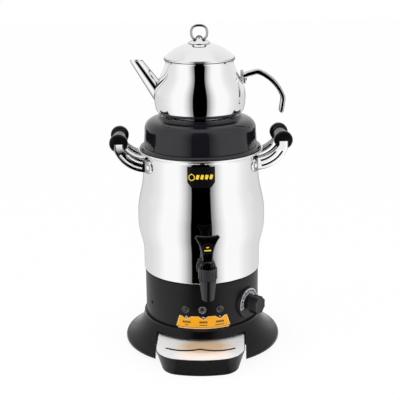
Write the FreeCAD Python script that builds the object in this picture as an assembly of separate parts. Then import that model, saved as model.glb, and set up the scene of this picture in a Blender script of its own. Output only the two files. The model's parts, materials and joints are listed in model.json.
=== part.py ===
import FreeCAD, Part

import os
from math import asin, atan2, cos, degrees, radians, sin, sqrt

V = FreeCAD.Vector
UP = V(0, 0, 1)
OUT = V(0, -1, 0)
SIDE = V(1, 0, 0)

# The frame has its origin on the boiler's axis, on the surface that the urn stands on.
# The front, with the tap, faces -Y. Every length is in millimetres and every angle in degrees.

# Clearances
RUNNING = 0.05
SEAT = 0.3
CURVED = 0.2
PUSH_IN = 0.1

# Foot strip and base pan
FOOT_HEIGHT = 5.0
FOOT_OUTER_RADIUS = 134.0
FOOT_WIDTH = 10.0
FOOT_GAP_ANGLE = 47.0
PAN_THICKNESS = 3.0
PAN_RADIUS = 145.0
PAN_CUP_RADIUS = 24.0
PAN_CUP_DEPTH = 9.0

# Skirt with its flared brim and the bay for the drip tray
BASE_TURN = -1.8
HEM_RADIUS = 151.3
HEM_Z = 12.0
HEM_BEAD = 1.6
FLARE_SAGITTA = 6.0
FLARE_TOP_Z = 58.0
COLLAR_RADIUS = 114.0
COLLAR_TOP_Z = 62.0
SKIRT_WALL = 3.2
LEDGE_Z = 50.0
LEDGE_THICKNESS = 2.5
LEDGE_INNER_RADIUS = 103.0
BAY_HALF_WIDTH = 85.3
BAY_CEILING_Z = 46.0
BAY_REAR_Y = -58.0
BAY_WALL = 2.5
SHELF_DEPTH = 7.0
SHELF_HALF_WIDTH = 60.0
BOSS_RADIUS = 5.0
BOSS_CIRCLE_RADIUS = 112.0
BOSS_HEIGHT = 20.0
BOSS_ANGLES = (62.0, 118.0, -62.0, -118.0)
RIB_THICKNESS = 3.0
BASE_SCREW_RADIUS = 1.9
BASE_SCREW_LENGTH = 15.0
BASE_SCREW_HEAD_RADIUS = 4.0
BASE_SCREW_HEAD_HEIGHT = 2.6

# Casing
CASING_RADIUS = 110.0
CASING_WALL = 1.2
CASING_TOP_Z = 150.8
CASING_FLANGE = 12.0
SEAL_THICKNESS = 1.6
SEAL_WIDTH = 7.0
SEAL_OUTER_RADIUS = 110.8
CASING_SCREW_Z = 94.0
CASING_SCREW_ANGLES = (-62.0, -150.0, 150.0)
CASING_SCREW_RADIUS = 1.5
CASING_SCREW_LENGTH = 6.0
CASING_SCREW_HEAD_RADIUS = 2.8
CASING_SCREW_HEAD_HEIGHT = 1.2

# Heat shield
SHIELD_Z = 127.0
SHIELD_THICKNESS = 1.0
SHIELD_RADIUS = 103.0
SHIELD_TAB_WIDTH = 14.0
SHIELD_TAB_DROP = 40.0
SHIELD_HOLE_RADIUS = 6.0

# Boiler tank
TANK_WALL = 0.8
TANK_FOOT_RADIUS = 111.7
TANK_BELLY_RADIUS = 121.2
TANK_NECK_RADIUS = 110.1
TANK_CORNER_RADIUS = 2.0
TANK_BOTTOM_THICKNESS = 1.2
TANK_FOOT_TOP_Z = 188.0
TANK_BELLY_LOW_Z = 247.0
TANK_BELLY_HIGH_Z = 265.0
TANK_NECK_LOW_Z = 343.0
TANK_NECK_HIGH_Z = 377.0
RIM_FLARE_RADIUS = 9.6
RIM_BEAD_RADIUS = 1.8
RIM_BEAD_OVERHANG = 6.1
RIM_BEAD_RISE = 9.6
CURVE_HANDLE = 0.364

# Tie rod
TIE_ROD_RADIUS = 4.0
TIE_NUT_ACROSS = 13.0
TIE_NUT_HEIGHT = 6.5
TIE_WASHER_RADIUS = 9.0
TIE_WASHER_THICKNESS = 1.6

# Heating element
ELEMENT_RING_RADIUS = 70.0
ELEMENT_TUBE_RADIUS = 4.25
ELEMENT_RISE = 19.0
ELEMENT_BEND_RADIUS = 12.0
ELEMENT_OPEN_ANGLE = 50.0
ELEMENT_TAIL = 14.0
BUSH_RADIUS = 7.0
BUSH_FLANGE_RADIUS = 10.0
BUSH_FLANGE_THICKNESS = 2.5
BUSH_GASKET_THICKNESS = 1.0
ELEMENT_NUT_ACROSS = 19.0
ELEMENT_NUT_HEIGHT = 5.0

# Thermostat, its dial and its knob
DIAL_ANGLE = 52.0
DIAL_Z = 98.8
DIAL_RADIUS = 30.5
DIAL_FACE_RADIUS = 113.5
DIAL_EDGE_ROUND = 1.2
KNOB_RADIUS = 17.7
KNOB_END_RADIUS = 139.5
KNOB_FRONT_THICKNESS = 4.0
KNOB_NECK_RADIUS = 12.0
KNOB_NECK_HEIGHT = 7.0
KNOB_SIDES = 8
KNOB_FLUTE_RADIUS = 34.0
KNOB_FLUTE_DEPTH = 1.6
KNOB_CHAMFER = 1.2
SHAFT_RADIUS = 3.0
SHAFT_HOLE_RADIUS = 4.0
THERMOSTAT_RADIUS = 20.0
THERMOSTAT_DEPTH = 24.0
THERMOSTAT_FACE_RADIUS = 105.0
THERMOSTAT_SCREW_OFFSET = 14.0
THERMOSTAT_SCREW_RADIUS = 1.9
THERMOSTAT_SCREW_HEAD_RADIUS = 3.4
THERMOSTAT_SCREW_HEAD_HEIGHT = 2.2
THERMOSTAT_SCREW_LENGTH = 18.0
CAPILLARY_RADIUS = 1.0
CAPILLARY_BEND_RADIUS = 8.0
BULB_RADIUS = 3.0
BULB_LENGTH = 60.0
BULB_OUTER_END_RADIUS = 74.0

# Indicator lamps and the label under them
LAMP_ANGLES = (-16.4, 0.0, 17.3)
LAMP_Z = 101.2
LAMP_BEZEL_RADIUS = 7.4
LAMP_BEZEL_HEIGHT = 2.0
LAMP_NECK_RADIUS = 5.8
LAMP_NECK_LENGTH = 12.0
LAMP_LENS_RADIUS = 4.4
LAMP_BODY_LENGTH = 14.0
LABEL_LOW_Z = 62.8
LABEL_HIGH_Z = 88.0
LABEL_LOW_HALF_WIDTH = 51.8
LABEL_HIGH_HALF_WIDTH = 44.8
LABEL_THICKNESS = 0.6
LABEL_NOTCH_SPACING = 31.4
LABEL_NOTCH_HALF_WIDTH = 9.0
LABEL_NOTCH_DEPTH = 6.5
LABEL_TURN = 0.9

# Mains inlet and other pieces inside the base
GLAND_Z = 80.0
GLAND_RADIUS = 8.0
GLAND_FLANGE_RADIUS = 11.0
GLAND_FLANGE_THICKNESS = 3.0
GLAND_REACH = 14.0
GLAND_BORE_RADIUS = 4.0
TERMINAL_LENGTH = 42.0
TERMINAL_WIDTH = 18.0
TERMINAL_HEIGHT = 16.0
TERMINAL_HOLE_RADIUS = 2.0
TERMINAL_Y = 60.0
CUTOUT_RADIUS = 11.0
CUTOUT_HEIGHT = 8.0
CUTOUT_CIRCLE_RADIUS = 42.0
CUTOUT_ANGLE = -120.0

# Front badge
BADGE_ANGLE = 0.35
BADGE_HALF_WIDTH = 25.0
BADGE_LOW_Z = 338.5
BADGE_HIGH_Z = 377.0
BADGE_CUT_WIDTH = 7.0
BADGE_CUT_HEIGHT = 10.0
BADGE_THICKNESS = 0.8

# Side handles
HANDLE_TURN = 2.5
GRIP_INSET = 13.5
GRIP_RISE = 56.0
GRIP_FLANGE_RADIUS = 17.2
GRIP_FLANGE_INNER_Y = 29.5
GRIP_END_Y = 43.0
GRIP_NECK_RADIUS = 11.5
GRIP_RING_RADIUS = 14.5
GRIP_RING_INNER_Y = 19.0
GRIP_RING_OUTER_Y = 25.0
GRIP_BARREL_RADIUS = 12.6
GRIP_NOTCH_HALF_WIDTH = 8.9
GRIP_NOTCH_DROP = 1.4
GRIP_ROUND = 2.5
GRIP_ROD_RADIUS = 3.0
GRIP_ROD_OVERHANG = 1.0
ARM_OUTER_Y = 41.3
ARM_THICKNESS = 12.0
ARM_HEIGHT = 25.0
ARM_DROP = 26.0
ARM_BEND_INSET = 8.6
ARM_BEND_RADIUS = 65.0
ARM_INNER_MIDDLE_INSET = 23.0
ARM_INNER_MIDDLE_RISE = 33.5
ARM_INNER_END_RISE = 47.5
ARM_INNER_START_INSET = 2.1
ARM_GROOVE_RADII = (59.0, 49.0)
ARM_GROOVE_WIDTH = 3.4
ARM_GROOVE_DEPTH = 1.2
TONGUE_THICKNESS = 6.0
TONGUE_HALF_WIDTH = 6.0
TONGUE_RISE = 6.0
PAD_THICKNESS = 3.0
PAD_END_Y = 62.0
RIVET_Y = 51.0
RIVET_RADIUS = 2.5
RIVET_HEAD_RADIUS = 5.0
RIVET_HEAD_HEIGHT = 2.2

# Tap
TAP_TURN = 3.8
TAP_Z = 189.0
TAP_REACH = 160.0
SHANK_RADIUS = 9.0
SHANK_BORE_RADIUS = 5.5
SHANK_INNER_REACH = 97.0
TAP_FLANGE_RADIUS = 14.5
TAP_FLANGE_THICKNESS = 3.5
TAP_HOUSING_RADIUS = 13.0
TAP_HOUSING_GAP = 1.8
TAP_WASHER_THICKNESS = 2.4
HEAD_RADIUS = 17.2
HEAD_LOW_Z = 183.0
HEAD_TOP_Z = 203.5
HEAD_RIBS = 20
HEAD_RIB_DEPTH = 0.7
HEAD_RIB_WIDTH = 2.2
SPOUT_TOP_RADIUS = 15.8
SPOUT_END_RADIUS = 11.3
SPOUT_END_Z = 142.6
SPOUT_GROOVE_WIDTH = 3.2
SPOUT_GROOVE_DEPTH = 1.2
OUTLET_RADIUS = 6.5
VALVE_SEAT_Z = 166.0
CHAMBER_RADIUS = 10.5
BONNET_RADIUS = 13.5
BONNET_LOW_Z = 195.0
BONNET_TOP_Z = 200.0
TAP_NUT_ACROSS = 27.0
TAP_NUT_HEIGHT = 6.0
STEM_RADIUS = 3.5
STEM_TONGUE_HALF_WIDTH = 4.0
STEM_TONGUE_DEPTH = 7.0
VALVE_PLUG_RADIUS = 8.6
VALVE_PLUG_HEIGHT = 5.5
SPRING_RADIUS = 6.0
SPRING_WIRE_RADIUS = 0.6
SPRING_TURNS = 6
TAP_PIN_RADIUS = 2.0
LEVER_HUB_RADIUS = 8.0
LEVER_HUB_OFFSET = 3.0
LEVER_HUB_GAP = 0.6
LEVER_HALF_WIDTH = 9.0
LEVER_THICKNESS = 8.0
LEVER_SLOT_RISE = 7.5
LEVER_WAIST_Z = 227.0
LEVER_WAIST_HALF_WIDTH = 10.0
LEVER_MIDDLE_Z = 243.0
LEVER_MIDDLE_HALF_WIDTH = 13.4
LEVER_TOP_Z = 265.0
LEVER_TOP_HALF_WIDTH = 23.0
LEVER_TOP_DIP = 2.2
LEVER_CORNER = 4.0
EMBLEM_RADIUS = 11.8
EMBLEM_Z = 240.0
EMBLEM_THICKNESS = 1.4
EMBLEM_SINK = 0.6

# Drip tray and its plate
TRAY_FRONT_RADIUS = 194.2
TRAY_HALF_WIDTH = 83.2
TRAY_CORNER_RADIUS = 50.0
TRAY_LOW_CORNER_RADIUS = 36.0
TRAY_TAPER_SIDE = 12.0
TRAY_TAPER_FRONT = 12.0
TRAY_BOTTOM_Z = 0.5
TRAY_TOP_Z = 38.0
TRAY_WALL = 2.5
TRAY_REAR_Y = -67.5
PLATE_THICKNESS = 1.0
PLATE_INSET = 1.2
PLATE_REBATE = 4.0
SLOT_WIDTH = 7.5
SLOT_HALF_LENGTH = 62.0
SLOT_CENTRE_Y = -145.0
SLOT_BOW = 6.5

# Boiler cover
COVER_WALL = 2.5
COVER_SPIGOT_GAP = 1.0
COVER_SPIGOT_LOW_Z = 378.0
COVER_FLANGE_OVERHANG = 3.8
COVER_FLANGE_LOW_Z = 385.6
COVER_FLANGE_TOP_Z = 391.5
COVER_FOOT_INSET = 1.5
COVER_FOOT_Z = 394.5
COVER_SHOULDER_INSET = 3.5
COVER_SHOULDER_Z = 422.0
COVER_DECK_INSET = 18.3
COVER_DECK_Z = 444.6
COVER_SHOULDER_BULGE = 5.2
SEAT_RING_OUTER_RADIUS = 78.8
SEAT_RING_INNER_RADIUS = 73.6
SEAT_RING_TOP_Z = 452.0
SEAT_RING_FOOT_Z = 447.4
SEAT_FLOOR_Z = 449.5
COVER_OPENING_RADIUS = 55.0

# Teapot
POT_WALL = 1.0
POT_FOOT_RADIUS = 68.0
POT_FOOT_HEIGHT = 5.2
POT_FOOT_ROUND = 1.5
POT_HEEL_RADIUS = 12.0
POT_HEEL_CENTRE_RADIUS = 71.0
POT_HEEL_ANGLE = 15.0
POT_BELLY_RADIUS = 85.2
POT_BELLY_HIGH_Z = 488.0
POT_SHOULDER_HANDLE_Z = 513.0
POT_NECK_RADIUS = 62.9
POT_NECK_Z = 551.0
POT_NECK_HANDLE_RUN = 3.6
POT_NECK_HANDLE_Z = 529.0
POT_RIM_RADIUS = 65.3
POT_RIM_Z = 556.4
POT_RIM_BEAD = 1.3
BASE_DISC_RADIUS = 60.0
BASE_DISC_SINK = 0.4

# Teapot spout, straight and tapered, in the plane through the axis
SPOUT_ROOT = (-75.7, 492.9)
SPOUT_TIP = (-119.1, 555.7)
SPOUT_ROOT_RADIUS = 15.3
SPOUT_TIP_RADIUS = 10.0
SPOUT_OVERSHOOT = 16.0
SPOUT_CUT_Z = 553.6
SPOUT_WALL = 1.0

# Teapot handle: a strap that rises from a bracket and hangs down in an open hook
STRAP_THICKNESS = 8.5
STRAP_WIDTH = 20.0
STRAP_ROOT = (81.0, 521.5)
STRAP_HEADINGS = (50.0, -42.0, -60.0, -95.0)
STRAP_RADII = (31.0, 125.0, 38.0)
STRAP_TAIL = 15.0
BRACKET_LOW_Z = 508.5
BRACKET_HIGH_Z = 533.5
BRACKET_HALF_WIDTH = 8.0
BRACKET_OUTER_X = 81.5
STRAP_SCREW_RADIUS = 2.0
STRAP_SCREW_HEAD_RADIUS = 3.0
STRAP_SCREW_HEAD_HEIGHT = 2.0
STRAP_SCREW_LENGTH = 7.4
STRAP_SCREW_RISE = 8.5
STRAP_FOOT_THICKNESS = 4.0

# Teapot lid and its ring
LID_SPHERE_RADIUS = 92.0
LID_APEX_Z = 586.3
LID_RADIUS = 65.6
LID_SPIGOT_DEPTH = 9.0
LID_SPIGOT_GAP = 0.5
PEDESTAL_RADIUS = 14.0
PEDESTAL_TOP_Z = 586.9
SAUCER_RADIUS = 21.0
SAUCER_THICKNESS = 3.8
SAUCER_RIM_DROP = 2.3
SAUCER_RIM_THICKNESS = 0.9
SAUCER_TOP_RADIUS = 12.1
FINIAL_RADIUS = 8.5
FINIAL_HEIGHT = 6.5
RING_TUBE_RADIUS = 2.75
RING_TOP_Z = 618.9
RING_RADIUS = 14.7
LID_SCREW_RADIUS = 2.0
LID_SCREW_HEAD_RADIUS = 4.0
LID_SCREW_HEAD_HEIGHT = 2.0

# Places that follow from the sizes above
RIM_BEAD_CENTRE_RADIUS = TANK_NECK_RADIUS + RIM_BEAD_OVERHANG
RIM_BEAD_CENTRE_Z = TANK_NECK_HIGH_Z + RIM_BEAD_RISE
ARM_LOW_Z = TANK_NECK_HIGH_Z - ARM_DROP
ARM_BEND_X = TANK_NECK_RADIUS - ARM_BEND_INSET
ARM_INNER_END_Z = ARM_LOW_Z + ARM_INNER_END_RISE
ARM_INNER_START_X = TANK_NECK_RADIUS - ARM_INNER_START_INSET
GRIP_X = ARM_BEND_X + ARM_BEND_RADIUS - GRIP_INSET
ARM_INNER_MIDDLE = (GRIP_X - ARM_INNER_MIDDLE_INSET, ARM_LOW_Z + ARM_INNER_MIDDLE_RISE)
GRIP_Z = ARM_LOW_Z + GRIP_RISE
GRIP_NOTCH_TOP_Z = GRIP_Z - GRIP_NOTCH_DROP
TAP_HOUSING_END = TAP_REACH - HEAD_RADIUS - TAP_HOUSING_GAP
COVER_SPIGOT_RADIUS = TANK_NECK_RADIUS - TANK_WALL - COVER_SPIGOT_GAP
COVER_FLANGE_RADIUS = TANK_NECK_RADIUS + COVER_FLANGE_OVERHANG
COVER_FOOT_RADIUS = COVER_SPIGOT_RADIUS - COVER_FOOT_INSET
COVER_SHOULDER_RADIUS = COVER_SPIGOT_RADIUS - COVER_SHOULDER_INSET
COVER_DECK_RADIUS = COVER_SPIGOT_RADIUS - COVER_DECK_INSET
PAN_TOP_Z = FOOT_HEIGHT + PAN_THICKNESS
SKIRT_LOW_Z = PAN_TOP_Z
SEAL_TOP_Z = CASING_TOP_Z + SEAL_THICKNESS
TANK_BOTTOM_Z = SEAL_TOP_Z
TANK_FLOOR_Z = TANK_BOTTOM_Z + TANK_BOTTOM_THICKNESS
CASING_INNER_RADIUS = CASING_RADIUS - CASING_WALL
BOILER_SIDE_RADIUS = TANK_NECK_RADIUS + CURVED
ELEMENT_Z = TANK_FLOOR_Z + ELEMENT_RISE
LEVER_PIN_Z = BONNET_TOP_Z + LEVER_HUB_GAP + LEVER_HUB_RADIUS
POT_BOTTOM_Z = SEAT_FLOOR_Z + SEAT
POT_HEEL_Z = POT_BOTTOM_Z + POT_FOOT_HEIGHT
LID_CENTRE_Z = LID_APEX_Z - LID_SPHERE_RADIUS
SAUCER_TOP_Z = PEDESTAL_TOP_Z + SAUCER_THICKNESS
RING_CENTRE_Z = RING_TOP_Z - RING_RADIUS - RING_TUBE_RADIUS
PLATE_LOW_Z = TRAY_TOP_Z - PLATE_THICKNESS


# Drawing helpers

def at(r, z):
    return V(r, 0, z)


def line(a, b):
    return Part.LineSegment(at(*a), at(*b)).toShape()


def arc(a, middle, b):
    return Part.Arc(at(*a), at(*middle), at(*b)).toShape()


def bowed(a, b, sagitta):
    """Arc from a to b whose middle stands off the chord by the sagitta, to the right of the way there."""
    length = sqrt((b[0] - a[0]) ** 2 + (b[1] - a[1]) ** 2)
    middle = (
        (a[0] + b[0]) / 2 + (b[1] - a[1]) / length * sagitta,
        (a[1] + b[1]) / 2 - (b[0] - a[0]) / length * sagitta,
    )
    return arc(a, middle, b)


def swell(a, b):
    """Smooth curve between two heights, upright at both ends."""
    reach = (b[1] - a[1]) * CURVE_HANDLE
    curve = Part.BezierCurve()
    curve.setPoles([at(*a), at(a[0], a[1] + reach), at(b[0], b[1] - reach), at(*b)])
    return curve.toShape()


def polygon(points):
    """Closed face through points (x, z) in the plane y = 0."""
    return Part.Face(Part.makePolygon([at(*p) for p in points + [points[0]]]))


def face_of(edges):
    return Part.Face(Part.Wire(Part.__sortEdges__(edges)))


def spun(edges):
    """Solid of revolution about the Z axis."""
    return face_of(edges).revolve(V(0, 0, 0), UP, 360)


def spun_polygon(points):
    return polygon(points).revolve(V(0, 0, 0), UP, 360)


def rod(base, direction, radius, length):
    return Part.makeCylinder(radius, length, base, direction)


def upright(x, y, radius, low, high):
    return rod(V(x, y, low), UP, radius, high - low)


def tube(outer, inner, low, high):
    return upright(0, 0, outer, low, high).cut(upright(0, 0, inner, low - 1, high + 1))


def block(low, high):
    return Part.makeBox(high[0] - low[0], high[1] - low[1], high[2] - low[2], V(*low))


def outward(radius, start, end, x=0.0, z=0.0):
    """Rod that points away from the axis at the front, from one distance to another."""
    return rod(V(x, -start, z), OUT, radius, end - start)


def turned(shape, angle):
    """Shape turned about the Z axis, from the front towards +X for a positive angle."""
    copy = shape.copy()
    copy.rotate(V(0, 0, 0), UP, angle)
    return copy


def mirrored_x(shape):
    return shape.mirror(V(0, 0, 0), SIDE)


def mirrored_y(shape):
    return shape.mirror(V(0, 0, 0), V(0, 1, 0))


def on_circle(radius, angle):
    return radius * sin(radians(angle)), -radius * cos(radians(angle))


def hexagon(across, x, y, low, high):
    corner = across / 2 / cos(radians(30))
    turns = [radians(60 * i) for i in range(6)]
    points = [V(x + corner * cos(t), y + corner * sin(t), low) for t in turns]
    return Part.Face(Part.makePolygon(points + [points[0]])).extrude(V(0, 0, high - low))


def joined(shapes):
    whole = shapes[0].multiFuse(shapes[1:]) if len(shapes) > 1 else shapes[0]
    return whole.removeSplitter()


def without(shape, tools):
    for tool in tools:
        shape = shape.cut(tool)
    return shape


# Base

def foot_strip():
    """Rubber strip in a C, open at the front where the drip tray runs."""
    strip = tube(FOOT_OUTER_RADIUS, FOOT_OUTER_RADIUS - FOOT_WIDTH, 0, FOOT_HEIGHT)
    reach = 2 * FOOT_OUTER_RADIUS
    side = reach * sin(radians(FOOT_GAP_ANGLE))
    front = reach * cos(radians(FOOT_GAP_ANGLE))
    points = [V(0, 0, -1), V(side, -front, -1), V(-side, -front, -1)]
    wedge = Part.Face(Part.makePolygon(points + [points[0]])).extrude(V(0, 0, FOOT_HEIGHT + 2))
    return strip.cut(wedge)


def tray_bay(clearance, low, high):
    """Space of the bay, from its rear wall to well in front of the hem."""
    half = BAY_HALF_WIDTH + clearance
    return block((-half, -2 * HEM_RADIUS, low), (half, BAY_REAR_Y + clearance, high))


def boss_places():
    return [on_circle(BOSS_CIRCLE_RADIUS, angle) for angle in BOSS_ANGLES]


def base_pan():
    disc = upright(0, 0, PAN_RADIUS, FOOT_HEIGHT, PAN_TOP_Z)
    cup_top = FOOT_HEIGHT + PAN_CUP_DEPTH + PAN_THICKNESS
    cup = upright(0, 0, PAN_CUP_RADIUS, FOOT_HEIGHT, cup_top)
    hollow = upright(0, 0, PAN_CUP_RADIUS - PAN_THICKNESS, FOOT_HEIGHT - 1, FOOT_HEIGHT + PAN_CUP_DEPTH)
    hole = upright(0, 0, TIE_ROD_RADIUS + SEAT, 0, cup_top + 1)
    pan = disc.fuse(cup).cut(hollow).cut(hole)
    pan = pan.cut(tray_bay(BAY_WALL + SEAT, 0, cup_top + 1))
    holes = [upright(*place, BASE_SCREW_RADIUS + SEAT, 0, PAN_TOP_Z + 1) for place in boss_places()]
    return without(pan, holes).removeSplitter()


def skirt_outside(extra):
    """Edges of the skirt's outer line, from the collar's top to the hem, moved inwards by extra."""
    top = (COLLAR_RADIUS - extra, COLLAR_TOP_Z)
    flare_top = (COLLAR_RADIUS - extra, FLARE_TOP_Z)
    flare_end = (HEM_RADIUS - HEM_BEAD - extra, HEM_Z + 2 * HEM_BEAD)
    hem = (HEM_RADIUS - extra, HEM_Z)
    hem_low = (HEM_RADIUS - extra, SKIRT_LOW_Z)
    edges = [line(top, flare_top), bowed(flare_top, flare_end, FLARE_SAGITTA)]
    edges += [line(flare_end, hem), line(hem, hem_low)]
    return edges, top, hem_low


def skirt_body(extra):
    edges, top, low = skirt_outside(extra)
    edges += [line(low, (0, low[1])), line((0, low[1]), (0, top[1])), line((0, top[1]), top)]
    return spun(edges)


def base_skirt():
    """Flared moulding with a ledge for the casing, a bay for the tray, and screw bosses."""
    full = skirt_body(0)
    fit = CASING_RADIUS + SEAT
    core = skirt_body(SKIRT_WALL).cut(tube(2 * HEM_RADIUS, fit, LEDGE_Z, COLLAR_TOP_Z + 1))
    bore = upright(0, 0, fit, LEDGE_Z, COLLAR_TOP_Z + 1)
    shell = full.cut(core).cut(bore)
    ledge = tube(CASING_RADIUS + 2, LEDGE_INNER_RADIUS, LEDGE_Z - LEDGE_THICKNESS, LEDGE_Z)
    outer = tray_bay(BAY_WALL, SKIRT_LOW_Z, BAY_CEILING_Z + BAY_WALL).common(full)
    walls = [ledge, outer]
    for angle in BOSS_ANGLES:
        x, y = on_circle(BOSS_CIRCLE_RADIUS, angle)
        walls.append(upright(x, y, BOSS_RADIUS, SKIRT_LOW_Z, SKIRT_LOW_Z + BOSS_HEIGHT))
        rib_low = (-RIB_THICKNESS / 2, -HEM_RADIUS, SKIRT_LOW_Z)
        rib_high = (RIB_THICKNESS / 2, -BOSS_CIRCLE_RADIUS, SKIRT_LOW_Z + BOSS_HEIGHT)
        walls.append(turned(block(rib_low, rib_high), angle).common(full))
    whole = joined([shell] + walls)
    whole = whole.cut(tray_bay(0, SKIRT_LOW_Z - 1, BAY_CEILING_Z))
    shelf_top = TRAY_TOP_Z - PLATE_THICKNESS - 2 * TRAY_WALL - SEAT
    shelf = block(
        (-SHELF_HALF_WIDTH, BAY_REAR_Y - SHELF_DEPTH, shelf_top - BAY_WALL),
        (SHELF_HALF_WIDTH, BAY_REAR_Y + BAY_WALL / 2, shelf_top),
    )
    whole = whole.fuse(shelf)
    screw_top = FOOT_HEIGHT + BASE_SCREW_LENGTH + 1
    holes = [upright(*place, BASE_SCREW_RADIUS + RUNNING, 0, screw_top) for place in boss_places()]
    return without(whole, holes).removeSplitter()


def base_screws():
    screws = []
    for x, y in boss_places():
        head = upright(x, y, BASE_SCREW_HEAD_RADIUS, FOOT_HEIGHT - BASE_SCREW_HEAD_HEIGHT, FOOT_HEIGHT)
        shank = upright(x, y, BASE_SCREW_RADIUS, FOOT_HEIGHT, FOOT_HEIGHT + BASE_SCREW_LENGTH)
        screws.append(joined([head, shank]))
    return Part.makeCompound(screws)


def casing():
    """Black drum of the base, with flanges turned in at both ends and holes for what passes through."""
    low = LEDGE_Z
    drum = tube(CASING_RADIUS, CASING_INNER_RADIUS, low, CASING_TOP_Z)
    flange_outer = CASING_RADIUS - CASING_WALL / 2
    for z in (low, CASING_TOP_Z - CASING_WALL):
        drum = drum.fuse(tube(flange_outer, CASING_RADIUS - CASING_FLANGE, z, z + CASING_WALL))
    near, far = CASING_RADIUS - 5, CASING_RADIUS + 5
    holes = [turned(outward(SHAFT_HOLE_RADIUS, near, far, 0, DIAL_Z), DIAL_ANGLE)]
    for x in (-THERMOSTAT_SCREW_OFFSET, THERMOSTAT_SCREW_OFFSET):
        holes.append(turned(outward(THERMOSTAT_SCREW_RADIUS + SEAT, near, far, x, DIAL_Z), DIAL_ANGLE))
    for angle in LAMP_ANGLES:
        holes.append(turned(outward(LAMP_NECK_RADIUS + PUSH_IN, near, far, 0, LAMP_Z), angle))
    for angle in CASING_SCREW_ANGLES:
        holes.append(turned(outward(CASING_SCREW_RADIUS + PUSH_IN, near, far, 0, CASING_SCREW_Z), angle))
    holes.append(turned(outward(GLAND_RADIUS + PUSH_IN, near, far, 0, GLAND_Z), 180))
    return without(drum, holes).removeSplitter()


def casing_screws():
    screws = []
    for angle in CASING_SCREW_ANGLES:
        face = CASING_RADIUS + PUSH_IN / 2
        shank = outward(CASING_SCREW_RADIUS, face - CASING_SCREW_LENGTH, face, 0, CASING_SCREW_Z)
        head = outward(CASING_SCREW_HEAD_RADIUS, face, face + CASING_SCREW_HEAD_HEIGHT, 0, CASING_SCREW_Z)
        screws.append(turned(joined([shank, head]), angle))
    return Part.makeCompound(screws)


def heat_shield():
    """Steel disc under the hot tank, held by three tabs bent down against the casing."""
    disc = upright(0, 0, SHIELD_RADIUS, SHIELD_Z, SHIELD_Z + SHIELD_THICKNESS)
    tab_outer = CASING_INNER_RADIUS - SEAT
    half = SHIELD_TAB_WIDTH / 2
    pieces = [disc]
    for angle in CASING_SCREW_ANGLES:
        low = (-half, -tab_outer, SHIELD_Z)
        flat = block(low, (half, -SHIELD_RADIUS + 6, SHIELD_Z + SHIELD_THICKNESS))
        flat = flat.common(upright(0, 0, tab_outer, 0, 2 * SHIELD_Z))
        low = (-half, -tab_outer, SHIELD_Z - SHIELD_TAB_DROP)
        leg = block(low, (half, -tab_outer + 4 * SHIELD_THICKNESS, SHIELD_Z))
        leg = leg.common(tube(tab_outer, tab_outer - 2 * SHIELD_THICKNESS, 0, SHIELD_Z))
        pieces.append(turned(joined([leg, flat]), angle))
    shield = joined(pieces)
    holes = [upright(0, 0, SHIELD_HOLE_RADIUS, 0, 2 * SHIELD_Z)]
    holes.append(upright(*on_circle(capillary_radius(), DIAL_ANGLE), SHIELD_HOLE_RADIUS, 0, 2 * SHIELD_Z))
    for angle in CASING_SCREW_ANGLES:
        reach = CASING_SCREW_RADIUS + PUSH_IN
        hole = outward(reach, tab_outer - 5, tab_outer + 5, 0, CASING_SCREW_Z)
        holes.append(turned(hole, angle))
    return without(shield, holes).removeSplitter()


def tank_seal():
    return tube(SEAL_OUTER_RADIUS, SEAL_OUTER_RADIUS - SEAL_WIDTH, CASING_TOP_Z, SEAL_TOP_Z)


# Boiler

def rim_curve(wall):
    """Flare between the neck and the curled rim, a quarter bend about one centre."""
    centre = (TANK_NECK_RADIUS + RIM_FLARE_RADIUS, TANK_NECK_HIGH_Z)
    radius = RIM_FLARE_RADIUS + wall
    end_z = RIM_BEAD_CENTRE_Z - RIM_BEAD_RADIUS / 2
    angle = asin((end_z - centre[1]) / radius)
    start = (centre[0] - radius, centre[1])
    middle = (centre[0] - radius * cos(angle / 2), centre[1] + radius * sin(angle / 2))
    end = (centre[0] - radius * cos(angle), centre[1] + radius * sin(angle))
    return start, middle, end


def tank_wall(wall):
    """Edges of the tank's side, from its lower corner to the flare, moved inwards by wall."""
    foot = TANK_FOOT_RADIUS - wall
    belly = TANK_BELLY_RADIUS - wall
    neck = TANK_NECK_RADIUS - wall
    start, middle, end = rim_curve(wall)
    low = TANK_BOTTOM_Z + TANK_CORNER_RADIUS + (TANK_BOTTOM_THICKNESS if wall else 0)
    edges = [line((foot, low), (foot, TANK_FOOT_TOP_Z))]
    edges.append(swell((foot, TANK_FOOT_TOP_Z), (belly, TANK_BELLY_LOW_Z)))
    edges.append(line((belly, TANK_BELLY_LOW_Z), (belly, TANK_BELLY_HIGH_Z)))
    edges.append(swell((belly, TANK_BELLY_HIGH_Z), (neck, TANK_NECK_LOW_Z)))
    edges.append(line((neck, TANK_NECK_LOW_Z), (neck, TANK_NECK_HIGH_Z)))
    edges.append(arc(start, middle, end))
    return edges, (foot, low), end


def tank_volume(wall):
    """Filled shape of the tank's side, moved inwards by wall."""
    edges, low, end = tank_wall(wall)
    edges += [line((0, low[1]), low), line((0, low[1]), (0, end[1])), line((0, end[1]), end)]
    return spun(edges)


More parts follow.
